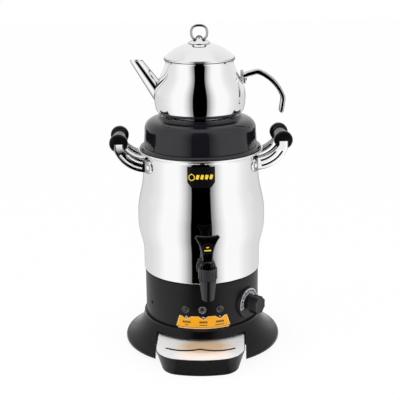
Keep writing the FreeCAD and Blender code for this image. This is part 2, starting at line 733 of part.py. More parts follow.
def boiler_tank():
    """Spun steel vessel: flat bottom, swelling belly, straight neck and a flared, curled rim."""
    outer, outer_low, outer_end = tank_wall(0)
    inner, inner_low, inner_end = tank_wall(TANK_WALL)
    corner = TANK_CORNER_RADIUS
    outer_flat = (outer_low[0] - corner, TANK_BOTTOM_Z)
    inner_flat = (inner_low[0] - corner, TANK_FLOOR_Z)
    edges = outer + inner + [line(outer_end, inner_end)]
    edges.append(bowed(outer_flat, outer_low, corner * (1 - cos(radians(45)))))
    edges.append(bowed(inner_flat, inner_low, corner * (1 - cos(radians(45)))))
    edges += [line(outer_flat, (0, TANK_BOTTOM_Z)), line((0, TANK_BOTTOM_Z), (0, TANK_FLOOR_Z))]
    edges.append(line((0, TANK_FLOOR_Z), inner_flat))
    vessel = spun(edges)
    bead = Part.makeTorus(RIM_BEAD_CENTRE_RADIUS, RIM_BEAD_RADIUS, V(0, 0, RIM_BEAD_CENTRE_Z))
    vessel = vessel.fuse(bead)
    tap_hole = outward(SHANK_RADIUS + SEAT, TANK_FOOT_RADIUS - 10, TANK_FOOT_RADIUS + 10, 0, TAP_Z)
    holes = [turned(tap_hole, TAP_TURN)]
    for x, y in element_feet():
        holes.append(upright(x, y, BUSH_RADIUS + PUSH_IN, TANK_BOTTOM_Z - 1, TANK_FLOOR_Z + 1))
    rivet_hole = rivet_rod(RIVET_RADIUS + PUSH_IN, TANK_NECK_RADIUS - 6, TANK_NECK_RADIUS + 6)
    holes += four_corners(rivet_hole)
    return without(vessel, holes).removeSplitter()


def element_feet():
    """Places of the element's two upright legs, tangent to the ring at its open end."""
    places = []
    for side in (-1, 1):
        angle = 180 - side * ELEMENT_OPEN_ANGLE / 2
        x, y = on_circle(ELEMENT_RING_RADIUS, angle)
        along = V(cos(radians(angle)), sin(radians(angle)), 0) * (side * ELEMENT_BEND_RADIUS)
        places.append((x + along.x, y + along.y))
    return places


def heating_element():
    """Tubular heater: a ring above the tank's floor with both ends turned down through it."""
    z = ELEMENT_Z
    low = TANK_BOTTOM_Z - ELEMENT_TAIL
    feet = element_feet()
    start = V(*on_circle(ELEMENT_RING_RADIUS, 180 + ELEMENT_OPEN_ANGLE / 2), z)
    end = V(*on_circle(ELEMENT_RING_RADIUS, 180 - ELEMENT_OPEN_ANGLE / 2), z)
    bends = []
    bend = ELEMENT_BEND_RADIUS
    for ring_point, foot in ((start, feet[0]), (end, feet[1])):
        top = V(foot[0], foot[1], z - bend)
        centre = V(ring_point.x, ring_point.y, z - bend)
        flat = (top - centre).normalize()
        middle = centre + flat * (bend * cos(radians(45))) + UP * (bend * sin(radians(45)))
        bends.append((V(foot[0], foot[1], low), top, middle, ring_point))
    front = V(0, -ELEMENT_RING_RADIUS, z)
    edges = [Part.LineSegment(bends[0][0], bends[0][1]).toShape()]
    edges.append(Part.Arc(bends[0][1], bends[0][2], bends[0][3]).toShape())
    edges.append(Part.Arc(start, front, end).toShape())
    edges.append(Part.Arc(bends[1][3], bends[1][2], bends[1][1]).toShape())
    edges.append(Part.LineSegment(bends[1][1], bends[1][0]).toShape())
    path = Part.Wire(edges)
    section = Part.Wire(Part.makeCircle(ELEMENT_TUBE_RADIUS, bends[0][0], UP))
    return path.makePipeShell([section], True, True)


def element_bushes():
    """Threaded brass bush round each leg, with a flange inside the tank."""
    bushes = []
    flange_low = TANK_FLOOR_Z + BUSH_GASKET_THICKNESS
    low = TANK_BOTTOM_Z - ELEMENT_NUT_HEIGHT - 2
    for x, y in element_feet():
        barrel = upright(x, y, BUSH_RADIUS, low, flange_low)
        flange = upright(x, y, BUSH_FLANGE_RADIUS, flange_low, flange_low + BUSH_FLANGE_THICKNESS)
        bore = upright(x, y, ELEMENT_TUBE_RADIUS + RUNNING, low - 1, 2 * flange_low)
        bushes.append(joined([barrel, flange]).cut(bore))
    return Part.makeCompound(bushes)


def element_gaskets():
    rings = []
    for x, y in element_feet():
        ring = upright(x, y, BUSH_FLANGE_RADIUS, TANK_FLOOR_Z, TANK_FLOOR_Z + BUSH_GASKET_THICKNESS)
        rings.append(ring.cut(upright(x, y, BUSH_RADIUS + PUSH_IN, 0, 2 * TANK_FLOOR_Z)))
    return Part.makeCompound(rings)


def element_nuts():
    nuts = []
    for x, y in element_feet():
        nut = hexagon(ELEMENT_NUT_ACROSS, x, y, TANK_BOTTOM_Z - ELEMENT_NUT_HEIGHT, TANK_BOTTOM_Z)
        nuts.append(nut.cut(upright(x, y, BUSH_RADIUS + RUNNING, 0, 2 * TANK_FLOOR_Z)))
    return Part.makeCompound(nuts)


def tie_rod():
    """Stud welded under the tank, which clamps tank, casing, skirt and pan together."""
    low = FOOT_HEIGHT + PAN_CUP_DEPTH - TIE_WASHER_THICKNESS - TIE_NUT_HEIGHT
    return upright(0, 0, TIE_ROD_RADIUS, low, TANK_BOTTOM_Z)


def tie_nut():
    top = FOOT_HEIGHT + PAN_CUP_DEPTH
    nut_top = top - TIE_WASHER_THICKNESS
    washer = upright(0, 0, TIE_WASHER_RADIUS, nut_top, top)
    nut = hexagon(TIE_NUT_ACROSS, 0, 0, nut_top - TIE_NUT_HEIGHT, nut_top)
    bore = upright(0, 0, TIE_ROD_RADIUS + RUNNING, 0, 2 * top)
    return joined([washer, nut]).cut(bore)


def cutout():
    """Overheat cut-out, a disc against the underside of the tank."""
    x, y = on_circle(CUTOUT_CIRCLE_RADIUS, CUTOUT_ANGLE)
    return upright(x, y, CUTOUT_RADIUS, TANK_BOTTOM_Z - CUTOUT_HEIGHT, TANK_BOTTOM_Z)


def wrapped(face_points, inner, thickness):
    """Sheet bent round the front of a drum of radius inner, cut to the outline (x, z)."""
    prism = polygon(face_points)
    prism.translate(V(0, -inner / 2, 0))
    prism = prism.extrude(V(0, -inner, 0))
    lows = [p[1] for p in face_points]
    return tube(inner + thickness, inner, min(lows) - 1, max(lows) + 1).common(prism)


def front_badge():
    """Bare plate on the tank's neck, with its lower corners cut off."""
    half, low, high = BADGE_HALF_WIDTH, BADGE_LOW_Z, BADGE_HIGH_Z
    inset = half - BADGE_CUT_WIDTH
    points = [(-half, high), (half, high), (half, low + BADGE_CUT_HEIGHT), (inset, low)]
    points += [(-inset, low), (-half, low + BADGE_CUT_HEIGHT)]
    return turned(wrapped(points, BOILER_SIDE_RADIUS, BADGE_THICKNESS), BADGE_ANGLE)


# Thermostat, lamps, label and inlet

def knob_frame(shape):
    return turned(shape, DIAL_ANGLE)


def edges_at_y(shape, y):
    """Edges that lie wholly in the plane at y."""
    return [e for e in shape.Edges if abs(e.BoundBox.YMin - y) < 0.01 and abs(e.BoundBox.YMax - y) < 0.01]


def dial_bezel():
    """Round dial plate, its back hollowed to the casing's curve, with counterbores for two screws."""
    plate = outward(DIAL_RADIUS, CASING_RADIUS - 8, DIAL_FACE_RADIUS, 0, DIAL_Z)
    plate = plate.cut(upright(0, 0, CASING_RADIUS + CURVED, 0, 2 * DIAL_Z))
    plate = plate.makeFillet(DIAL_EDGE_ROUND, edges_at_y(plate, -DIAL_FACE_RADIUS))
    holes = [outward(SHAFT_HOLE_RADIUS, 0, 2 * DIAL_FACE_RADIUS, 0, DIAL_Z)]
    floor = DIAL_FACE_RADIUS - THERMOSTAT_SCREW_HEAD_HEIGHT - SEAT
    for x in (-THERMOSTAT_SCREW_OFFSET, THERMOSTAT_SCREW_OFFSET):
        holes.append(outward(THERMOSTAT_SCREW_RADIUS + SEAT, 0, 2 * DIAL_FACE_RADIUS, x, DIAL_Z))
        holes.append(outward(THERMOSTAT_SCREW_HEAD_RADIUS + SEAT, floor, 2 * DIAL_FACE_RADIUS, x, DIAL_Z))
    return knob_frame(without(plate, holes))


def thermostat_screws():
    screws = []
    head_low = DIAL_FACE_RADIUS - THERMOSTAT_SCREW_HEAD_HEIGHT - SEAT
    for x in (-THERMOSTAT_SCREW_OFFSET, THERMOSTAT_SCREW_OFFSET):
        head = outward(THERMOSTAT_SCREW_HEAD_RADIUS, head_low, DIAL_FACE_RADIUS - SEAT, x, DIAL_Z)
        shank = outward(THERMOSTAT_SCREW_RADIUS, head_low - THERMOSTAT_SCREW_LENGTH, head_low, x, DIAL_Z)
        screws.append(knob_frame(joined([head, shank])))
    return Part.makeCompound(screws)


def thermostat_body():
    face = THERMOSTAT_FACE_RADIUS
    body = outward(THERMOSTAT_RADIUS, face - THERMOSTAT_DEPTH, face, 0, DIAL_Z)
    holes = [outward(SHAFT_RADIUS + RUNNING, face - THERMOSTAT_DEPTH / 2, face + 1, 0, DIAL_Z)]
    radius = THERMOSTAT_SCREW_RADIUS + RUNNING
    for x in (-THERMOSTAT_SCREW_OFFSET, THERMOSTAT_SCREW_OFFSET):
        holes.append(outward(radius, face - THERMOSTAT_DEPTH, face + 1, x, DIAL_Z))
    return knob_frame(without(body, holes))


def capillary_radius():
    return THERMOSTAT_FACE_RADIUS - THERMOSTAT_DEPTH / 2


def bulb_z():
    return TANK_BOTTOM_Z - SEAT - BULB_RADIUS


def capillary():
    """Thin tube that rises from the thermostat through the shield and turns in to its sensing bulb."""
    reach, bend, z = capillary_radius(), CAPILLARY_BEND_RADIUS, bulb_z()
    foot = V(0, -reach, DIAL_Z + THERMOSTAT_RADIUS)
    low = V(0, -reach, z - bend)
    middle = V(0, -reach + bend * (1 - cos(radians(45))), z - bend + bend * sin(radians(45)))
    turn = V(0, -reach + bend, z)
    end = V(0, -BULB_OUTER_END_RADIUS, z)
    edges = [Part.LineSegment(foot, low).toShape(), Part.Arc(low, middle, turn).toShape()]
    edges.append(Part.LineSegment(turn, end).toShape())
    section = Part.Wire(Part.makeCircle(CAPILLARY_RADIUS, foot, UP))
    thin = Part.Wire(edges).makePipeShell([section], True, True)
    outer_end = BULB_OUTER_END_RADIUS
    return knob_frame(joined([thin, outward(BULB_RADIUS, outer_end - BULB_LENGTH, outer_end, 0, z)]))


def thermostat_shaft():
    inner = THERMOSTAT_FACE_RADIUS - THERMOSTAT_DEPTH / 2 + SEAT
    return knob_frame(outward(SHAFT_RADIUS, inner, KNOB_END_RADIUS - KNOB_FRONT_THICKNESS, 0, DIAL_Z))


def thermostat_knob():
    """Knob with shallow flutes on a thinner neck, with a blind bore for the shaft."""
    low = DIAL_FACE_RADIUS + SEAT + PUSH_IN
    grip_low = low + KNOB_NECK_HEIGHT
    grip = outward(KNOB_RADIUS, grip_low, KNOB_END_RADIUS, 0, DIAL_Z)
    grip = grip.makeChamfer(KNOB_CHAMFER, edges_at_y(grip, -KNOB_END_RADIUS))
    centre = KNOB_RADIUS - KNOB_FLUTE_DEPTH + KNOB_FLUTE_RADIUS
    for i in range(KNOB_SIDES):
        angle = radians(360 * i / KNOB_SIDES)
        x, z = centre * cos(angle), DIAL_Z + centre * sin(angle)
        grip = grip.cut(outward(KNOB_FLUTE_RADIUS, low, 2 * KNOB_END_RADIUS, x, z))
    neck = outward(KNOB_NECK_RADIUS, low, grip_low + 1, 0, DIAL_Z)
    floor = KNOB_END_RADIUS - KNOB_FRONT_THICKNESS + SEAT
    bore = outward(SHAFT_RADIUS + RUNNING, low - 1, floor, 0, DIAL_Z)
    return knob_frame(joined([grip, neck]).cut(bore))


def lamp_bezels():
    bezels = []
    face = CASING_RADIUS + CURVED
    for angle in LAMP_ANGLES:
        flange = outward(LAMP_BEZEL_RADIUS, face, face + LAMP_BEZEL_HEIGHT, 0, LAMP_Z)
        neck = outward(LAMP_NECK_RADIUS, face - LAMP_NECK_LENGTH, face, 0, LAMP_Z)
        bore = outward(LAMP_LENS_RADIUS + RUNNING, 0, 2 * face, 0, LAMP_Z)
        bezels.append(turned(joined([flange, neck]).cut(bore), angle))
    return Part.makeCompound(bezels)


def lamp_lenses():
    """Short domed lens in each bezel."""
    lenses = []
    face = CASING_RADIUS + CURVED
    edge = face + LAMP_BEZEL_HEIGHT / 2
    for angle in LAMP_ANGLES:
        barrel = outward(LAMP_LENS_RADIUS, face - LAMP_NECK_LENGTH / 2, edge, 0, LAMP_Z)
        ball_radius = 2 * LAMP_LENS_RADIUS
        depth = sqrt(ball_radius ** 2 - LAMP_LENS_RADIUS ** 2)
        ball = Part.makeSphere(ball_radius, V(0, -edge + depth, LAMP_Z))
        slug = outward(LAMP_LENS_RADIUS, face, face + 3 * LAMP_BEZEL_HEIGHT, 0, LAMP_Z)
        lenses.append(turned(joined([barrel, slug.common(ball)]), angle))
    return Part.makeCompound(lenses)


def lamp_bodies():
    bodies = []
    end = CASING_RADIUS + CURVED - LAMP_NECK_LENGTH / 2 - RUNNING
    for angle in LAMP_ANGLES:
        bodies.append(turned(outward(LAMP_LENS_RADIUS, end - LAMP_BODY_LENGTH, end, 0, LAMP_Z), angle))
    return Part.makeCompound(bodies)


def label_plate():
    """Plate under the lamps: wider at the bottom, with a V notch under each lamp."""
    low, high = LABEL_LOW_Z, LABEL_HIGH_Z
    points = [(-LABEL_LOW_HALF_WIDTH, low), (-LABEL_HIGH_HALF_WIDTH, high)]
    notch = LABEL_NOTCH_HALF_WIDTH
    for i in (-1, 0, 1):
        x = i * LABEL_NOTCH_SPACING
        points += [(x - notch, high), (x, high - LABEL_NOTCH_DEPTH), (x + notch, high)]
    points += [(LABEL_HIGH_HALF_WIDTH, high), (LABEL_LOW_HALF_WIDTH, low)]
    return turned(wrapped(points, CASING_RADIUS + CURVED, LABEL_THICKNESS), LABEL_TURN)


def cable_gland():
    face = CASING_RADIUS + CURVED
    flange = outward(GLAND_FLANGE_RADIUS, face, face + GLAND_FLANGE_THICKNESS, 0, GLAND_Z)
    nose = outward(GLAND_RADIUS, face - GLAND_REACH, face + GLAND_REACH, 0, GLAND_Z)
    bore = outward(GLAND_BORE_RADIUS, 0, 2 * face, 0, GLAND_Z)
    return turned(joined([flange, nose]).cut(bore), 180)


def terminal_block():
    half, y = TERMINAL_LENGTH / 2, TERMINAL_Y
    body = block((-half, y, PAN_TOP_Z), (half, y + TERMINAL_WIDTH, PAN_TOP_Z + TERMINAL_HEIGHT))
    holes = []
    for i in (-1, 0, 1):
        start = V(i * TERMINAL_LENGTH / 3, y - 1, PAN_TOP_Z + TERMINAL_HEIGHT / 2)
        holes.append(rod(start, V(0, 1, 0), TERMINAL_HOLE_RADIUS, TERMINAL_WIDTH + 2))
    return without(body, holes)


# Side handles, drawn at the right, with the front arm at -Y, before the small turn of the boiler

def rivet_rod(radius, start, end):
    """Rod square to the tank's side through the front pad of the right handle."""
    angle = degrees(asin(RIVET_Y / TANK_NECK_RADIUS))
    middle = ARM_LOW_Z + ARM_HEIGHT / 2
    return turned(outward(radius, start, end, 0, middle), 90 - angle)


def four_corners(shape):
    """The front right shape with its three mirror images, turned with the boiler."""
    pair = [shape, mirrored_y(shape)]
    return [turned(s, HANDLE_TURN) for s in pair + [mirrored_x(s) for s in pair]]


def slab(face, y_low, y_high):
    """Face in the XZ plane thickened from y_low to y_high."""
    face.translate(V(0, y_low, 0))
    return face.extrude(V(0, y_high - y_low, 0))


def arm_outline():
    bend = (ARM_BEND_X, ARM_LOW_Z + ARM_BEND_RADIUS)
    root = TANK_NECK_RADIUS / 2
    outer_x = GRIP_X + GRIP_NOTCH_HALF_WIDTH - SEAT
    inner_x = GRIP_X - GRIP_NOTCH_HALF_WIDTH + SEAT
    top = GRIP_NOTCH_TOP_Z - SEAT
    rise = sqrt(ARM_BEND_RADIUS ** 2 - (outer_x - bend[0]) ** 2)
    outer_end = (outer_x, bend[1] - rise)
    half = atan2(outer_x - bend[0], rise) / 2
    outer_middle = (bend[0] + ARM_BEND_RADIUS * sin(half), bend[1] - ARM_BEND_RADIUS * cos(half))
    high = ARM_LOW_Z + ARM_HEIGHT
    edges = [line((root, ARM_LOW_Z), (bend[0], ARM_LOW_Z))]
    edges.append(arc((bend[0], ARM_LOW_Z), outer_middle, outer_end))
    edges += [line(outer_end, (outer_x, top)), line((outer_x, top), (inner_x, top))]
    edges.append(line((inner_x, top), (inner_x, ARM_INNER_END_Z)))
    edges.append(arc((inner_x, ARM_INNER_END_Z), ARM_INNER_MIDDLE, (ARM_INNER_START_X, high)))
    edges += [line((ARM_INNER_START_X, high), (root, high)), line((root, high), (root, ARM_LOW_Z))]
    return face_of(edges)


def arm_inner_round(y_low, y_high):
    """Round bar that fits the hollow side of the arm's bend, less the clearance of the grip's notch."""
    start = (ARM_INNER_START_X, ARM_LOW_Z + ARM_HEIGHT)
    end = (GRIP_X - GRIP_NOTCH_HALF_WIDTH + SEAT, ARM_INNER_END_Z)
    bend = arc(start, ARM_INNER_MIDDLE, end).Curve
    centre = V(bend.Center.x, y_low, bend.Center.z)
    return rod(centre, V(0, 1, 0), bend.Radius - SEAT, y_high - y_low)


def arm_groove(radius, y_low, y_high):
    """Curved groove that follows the arm's outer edge."""
    centre = V(ARM_BEND_X, y_low, ARM_LOW_Z + ARM_BEND_RADIUS)
    ring = rod(centre, V(0, 1, 0), radius, y_high - y_low)
    ring = ring.cut(rod(centre, V(0, 1, 0), radius - ARM_GROOVE_WIDTH, y_high - y_low))
    reach = 2 * ARM_BEND_RADIUS
    stop = GRIP_Z - GRIP_FLANGE_RADIUS - 1
    window = block((TANK_NECK_RADIUS + 4, y_low, ARM_LOW_Z - 1), (ARM_BEND_X + reach, y_high, stop))
    return ring.common(window)


def pad():
    """Foot of an arm: a plate that hugs the tank's neck, round at its free end."""
    radius = ARM_HEIGHT / 2
    middle = ARM_LOW_Z + radius
    inner_y = ARM_OUTER_Y - ARM_THICKNESS
    reach = 2 * TANK_NECK_RADIUS
    tip = rod(V(0, -PAD_END_Y + radius, middle), SIDE, radius, reach)
    straight = block((0, -PAD_END_Y + radius, ARM_LOW_Z), (reach, -inner_y, ARM_LOW_Z + ARM_HEIGHT))
    inner = BOILER_SIDE_RADIUS
    sheet = tube(inner + PAD_THICKNESS, inner, ARM_LOW_Z - 1, ARM_LOW_Z + ARM_HEIGHT + 1)
    return sheet.common(joined([tip, straight]))


def arm():
    """One cast arm: pad, grooved strap that curves up, and a tongue that enters the grip."""
    outer, inner = -ARM_OUTER_Y, -ARM_OUTER_Y + ARM_THICKNESS
    strap = slab(arm_outline(), outer, inner)
    strap = strap.cut(upright(0, 0, BOILER_SIDE_RADIUS, ARM_LOW_Z - 1, GRIP_Z + GRIP_FLANGE_RADIUS))
    middle = (outer + inner) / 2
    tongue = block(
        (GRIP_X - TONGUE_HALF_WIDTH, middle - TONGUE_THICKNESS / 2, GRIP_NOTCH_TOP_Z - 2),
        (GRIP_X + TONGUE_HALF_WIDTH, middle + TONGUE_THICKNESS / 2, GRIP_Z + TONGUE_RISE),
    )
    whole = joined([strap, tongue, pad()])
    cuts = [rod(V(GRIP_X, outer, GRIP_Z), V(0, 1, 0), GRIP_ROD_RADIUS + PUSH_IN, ARM_THICKNESS)]
    cuts.append(rivet_rod(RIVET_RADIUS + PUSH_IN, TANK_NECK_RADIUS - 6, TANK_NECK_RADIUS + 20))
    for radius in ARM_GROOVE_RADII:
        cuts.append(arm_groove(radius, outer - 1, outer + ARM_GROOVE_DEPTH))
        cuts.append(arm_groove(radius, inner - ARM_GROOVE_DEPTH, inner + 1))
    return without(whole, cuts)


def rivet():
    outer = BOILER_SIDE_RADIUS + PAD_THICKNESS + PUSH_IN
    shank = rivet_rod(RIVET_RADIUS, TANK_NECK_RADIUS - 2 * TANK_WALL, outer)
    angle = degrees(asin(RIVET_Y / TANK_NECK_RADIUS))
    rise = RIVET_HEAD_HEIGHT
    ball_radius = (RIVET_HEAD_RADIUS ** 2 + rise ** 2) / (2 * rise)
    middle = ARM_LOW_Z + ARM_HEIGHT / 2
    ball = Part.makeSphere(ball_radius, V(0, -outer - rise + ball_radius, middle))
    head = outward(RIVET_HEAD_RADIUS + 1, outer, outer + 2 * rise, 0, middle).common(ball)
    inside = TANK_NECK_RADIUS - TANK_WALL - SEAT
    tail = rivet_rod(1.5 * RIVET_RADIUS, inside - rise, inside)
    return joined([shank, turned(head, 90 - angle), tail])


def grip():
    """Turned grip with a flange at each end, slotted from below for the arms."""
    flange, ring, neck = GRIP_FLANGE_RADIUS, GRIP_RING_RADIUS, GRIP_NECK_RADIUS
    edge, end = GRIP_FLANGE_INNER_Y, GRIP_END_Y
    soft = GRIP_ROUND
    half = [(0, end), (flange - soft, end), (flange, end - soft)]
    half += [(flange, edge + soft), (flange - soft, edge), (neck, edge), (neck, GRIP_RING_OUTER_Y)]
    half += [(ring, GRIP_RING_OUTER_Y - 1), (ring, GRIP_RING_INNER_Y + 1)]
    half.append((GRIP_BARREL_RADIUS, GRIP_RING_INNER_Y))
    points = half + [(r, -y) for r, y in reversed(half)]
    handle = spun_polygon(points)
    handle.rotate(V(0, 0, 0), SIDE, 90)
    handle.translate(V(GRIP_X, 0, GRIP_Z))
    half_width, top = GRIP_NOTCH_HALF_WIDTH, GRIP_NOTCH_TOP_Z
    arm_inner = ARM_OUTER_Y - ARM_THICKNESS
    arm_middle = ARM_OUTER_Y - ARM_THICKNESS / 2
    reach = arm_middle + TONGUE_THICKNESS / 2 + GRIP_ROD_OVERHANG
    cuts = [rod(V(GRIP_X, -reach, GRIP_Z), V(0, 1, 0), GRIP_ROD_RADIUS + PUSH_IN, 2 * reach)]
    slot = TONGUE_THICKNESS / 2 + SEAT
    wide = TONGUE_HALF_WIDTH + SEAT
    for side in (-1, 1):
        ys = sorted((side * (arm_inner - SEAT), side * (end + 1)))
        low = GRIP_Z - 2 * flange
        cuts.append(block((GRIP_X - half_width, ys[0], low), (GRIP_X + half_width, ys[1], top)))
        bay = block((GRIP_X - 2 * flange, ys[0], low), (GRIP_X, ys[1], ARM_INNER_END_Z))
        cuts.append(bay.cut(arm_inner_round(ys[0], ys[1])))
        y = side * arm_middle
        high = GRIP_Z + TONGUE_RISE + SEAT
        cuts.append(block((GRIP_X - wide, y - slot, top - 1), (GRIP_X + wide, y + slot, high)))
    return without(handle, cuts)


def grip_rod():
    reach = ARM_OUTER_Y - ARM_THICKNESS / 2 + TONGUE_THICKNESS / 2 + GRIP_ROD_OVERHANG / 2
    return rod(V(GRIP_X, -reach, GRIP_Z), V(0, 1, 0), GRIP_ROD_RADIUS, 2 * reach)


# Tap, drawn at the front before its small turn

def tap_frame(shape):
    return turned(shape, TAP_TURN)


def tap_flange_low():
    return TANK_FOOT_RADIUS + CURVED + TAP_WASHER_THICKNESS


def tap_body():
    """Moulded tap: threaded shank, flange, head with ribs, and a tapered spout with a groove."""
    shank = outward(SHANK_RADIUS, SHANK_INNER_REACH, TAP_REACH, 0, TAP_Z)
    low = tap_flange_low()
    flange = outward(TAP_FLANGE_RADIUS, low, low + TAP_FLANGE_THICKNESS, 0, TAP_Z)
    housing = outward(TAP_HOUSING_RADIUS, low, TAP_HOUSING_END, 0, TAP_Z)
    head = upright(0, -TAP_REACH, HEAD_RADIUS, HEAD_LOW_Z, HEAD_TOP_Z)
    for i in range(HEAD_RIBS):
        angle = 360 * i / HEAD_RIBS
        inset = HEAD_RADIUS - HEAD_RIB_DEPTH
        half = HEAD_RIB_WIDTH / 2
        cut = block((-half, inset, HEAD_LOW_Z + 3), (half, HEAD_RADIUS + 1, HEAD_TOP_Z - 4))
        cut.rotate(V(0, 0, 0), UP, angle)
        cut.translate(V(0, -TAP_REACH, 0))
        head = head.cut(cut)
    mouth = V(0, -TAP_REACH, SPOUT_END_Z)
    spout = Part.makeCone(SPOUT_END_RADIUS, SPOUT_TOP_RADIUS, HEAD_LOW_Z - SPOUT_END_Z, mouth)
    front = -TAP_REACH - SPOUT_END_RADIUS
    groove = block(
        (-SPOUT_GROOVE_WIDTH / 2, front - SPOUT_TOP_RADIUS, SPOUT_END_Z - 1),
        (SPOUT_GROOVE_WIDTH / 2, front + SPOUT_GROOVE_DEPTH, HEAD_LOW_Z - 2),
    )
    whole = joined([shank, flange, housing, head, spout.cut(groove)])
    cuts = [outward(SHANK_BORE_RADIUS, SHANK_INNER_REACH - 1, TAP_REACH, 0, TAP_Z)]
    cuts.append(upright(0, -TAP_REACH, OUTLET_RADIUS, SPOUT_END_Z - 1, VALVE_SEAT_Z + 1))
    cuts.append(upright(0, -TAP_REACH, CHAMBER_RADIUS, VALVE_SEAT_Z, HEAD_TOP_Z + 1))
    cuts.append(upright(0, -TAP_REACH, BONNET_RADIUS + RUNNING, BONNET_LOW_Z, HEAD_TOP_Z + 1))
    return tap_frame(without(whole, cuts))


def tap_washers():
    """Silicone washer on each side of the tank's wall, hollowed or rounded to its curve."""
    hole = outward(SHANK_RADIUS + PUSH_IN, 0, 2 * TAP_REACH, 0, TAP_Z)
    outside = outward(TAP_FLANGE_RADIUS, TANK_FOOT_RADIUS - 5, tap_flange_low(), 0, TAP_Z)
    outside = outside.cut(tank_volume(-PUSH_IN))
    inside = outward(TAP_FLANGE_RADIUS, tap_nut_end(), TANK_FOOT_RADIUS, 0, TAP_Z)
    inside = inside.common(tank_volume(TANK_WALL + PUSH_IN))
    return Part.makeCompound([tap_frame(w.cut(hole)) for w in (outside, inside)])


def tap_nut_end():
    side = sqrt((TANK_FOOT_RADIUS - TANK_WALL) ** 2 - TAP_FLANGE_RADIUS ** 2)
    return side - TAP_WASHER_THICKNESS


def tap_nut():
    end = tap_nut_end()
    nut = hexagon(TAP_NUT_ACROSS, 0, 0, 0, TAP_NUT_HEIGHT)
    nut = nut.cut(upright(0, 0, SHANK_RADIUS + RUNNING, -1, TAP_NUT_HEIGHT + 1))
    nut.rotate(V(0, 0, 0), SIDE, 90)
    nut.translate(V(0, -end + TAP_NUT_HEIGHT, TAP_Z))
    return tap_frame(nut)


def tap_bonnet():
    plug = upright(0, -TAP_REACH, BONNET_RADIUS, BONNET_LOW_Z, BONNET_TOP_Z)
    return tap_frame(plug.cut(upright(0, -TAP_REACH, STEM_RADIUS + RUNNING, 0, HEAD_TOP_Z)))


def tap_stem():
    """Round stem with a flat tongue at its top, which carries the lever's pin."""
    low = VALVE_SEAT_Z + SEAT + VALVE_PLUG_HEIGHT / 2
    tongue_low = BONNET_TOP_Z + SEAT
    stem = upright(0, -TAP_REACH, STEM_RADIUS, low, tongue_low + 1)
    half, deep = STEM_TONGUE_HALF_WIDTH, STEM_TONGUE_DEPTH / 2
    tongue = block((-half, -TAP_REACH - deep, tongue_low), (half, -TAP_REACH + deep, LEVER_PIN_Z))
    eye = rod(V(-half, -TAP_REACH, LEVER_PIN_Z), SIDE, deep, 2 * half)
    hole = rod(V(-half - 1, -TAP_REACH, LEVER_PIN_Z), SIDE, TAP_PIN_RADIUS + RUNNING, 2 * half + 2)
    return tap_frame(joined([stem, tongue, eye]).cut(hole))


def valve_plug():
    low = VALVE_SEAT_Z + SEAT
    plug = upright(0, -TAP_REACH, VALVE_PLUG_RADIUS, low, low + VALVE_PLUG_HEIGHT)
    floor = low + VALVE_PLUG_HEIGHT / 2 - RUNNING
    socket = upright(0, -TAP_REACH, STEM_RADIUS + RUNNING, floor, HEAD_TOP_Z)
    return tap_frame(plug.cut(socket))


def tap_spring():
    """Coil spring between the valve plug and the bonnet."""
    wire = SPRING_WIRE_RADIUS
    low = VALVE_SEAT_Z + SEAT + VALVE_PLUG_HEIGHT + wire + PUSH_IN
    high = BONNET_LOW_Z - wire - PUSH_IN
    helix = Part.makeHelix((high - low) / SPRING_TURNS, high - low, SPRING_RADIUS)
    section = Part.Wire(Part.makeCircle(wire, V(SPRING_RADIUS, 0, 0), V(0, 1, 0)))
    spring = Part.Wire(helix).makePipeShell([section], True, True)
    spring.translate(V(0, -TAP_REACH, low))
    return tap_frame(spring)


def tap_pin():
    half = LEVER_HALF_WIDTH
    return tap_frame(rod(V(-half, -TAP_REACH, LEVER_PIN_Z), SIDE, TAP_PIN_RADIUS, 2 * half))


def lever_outline():
    """Front view of the lever: narrow at the fork, widening to a winged top with a shallow dip."""
    low = LEVER_PIN_Z
    top, wing, corner = LEVER_TOP_Z, LEVER_TOP_HALF_WIDTH, LEVER_CORNER
    right = [(LEVER_HALF_WIDTH, low), (LEVER_WAIST_HALF_WIDTH, LEVER_WAIST_Z)]
    shoulder = (wing, top - corner)
    crown = (wing - corner, top)
    edges = []
    for s in (1, -1):
        def side(p):
            return (s * p[0], p[1])
        edges.append(line(side(right[0]), side(right[1])))
        edges.append(arc(side(right[1]), side((LEVER_MIDDLE_HALF_WIDTH, LEVER_MIDDLE_Z)), side(shoulder)))
        bulge = corner * (1 - cos(radians(45)))
        edges.append(arc(side(shoulder), side((wing - bulge, top - bulge)), side(crown)))
    edges.append(arc(crown, (0, top - LEVER_TOP_DIP), (-crown[0], top)))
    edges.append(line((-LEVER_HALF_WIDTH, low), (LEVER_HALF_WIDTH, low)))
    return face_of(edges)


def emblem_seat():
    return TAP_REACH + LEVER_THICKNESS / 2 - EMBLEM_SINK


def tap_lever():
    """Forked lever whose round heel sits off the pin and lifts the stem as it turns."""
    half = LEVER_THICKNESS / 2
    blade = slab(lever_outline(), -TAP_REACH - half, -TAP_REACH + half)
    heel_y = -TAP_REACH - LEVER_HUB_OFFSET
    heel = rod(V(-LEVER_HALF_WIDTH, heel_y, LEVER_PIN_Z), SIDE, LEVER_HUB_RADIUS, 2 * LEVER_HALF_WIDTH)
    whole = joined([blade, heel])
    gap = STEM_TONGUE_HALF_WIDTH + SEAT
    reach = 2 * LEVER_HUB_RADIUS
    slot = block(
        (-gap, -TAP_REACH - reach, BONNET_TOP_Z),
        (gap, -TAP_REACH + reach, LEVER_PIN_Z + LEVER_SLOT_RISE),
    )
    hole = rod(V(-reach, -TAP_REACH, LEVER_PIN_Z), SIDE, TAP_PIN_RADIUS + RUNNING, 2 * reach)
    seat = outward(EMBLEM_RADIUS + PUSH_IN, emblem_seat(), TAP_REACH + reach, 0, EMBLEM_Z)
    return tap_frame(without(whole, [slot, hole, seat]))


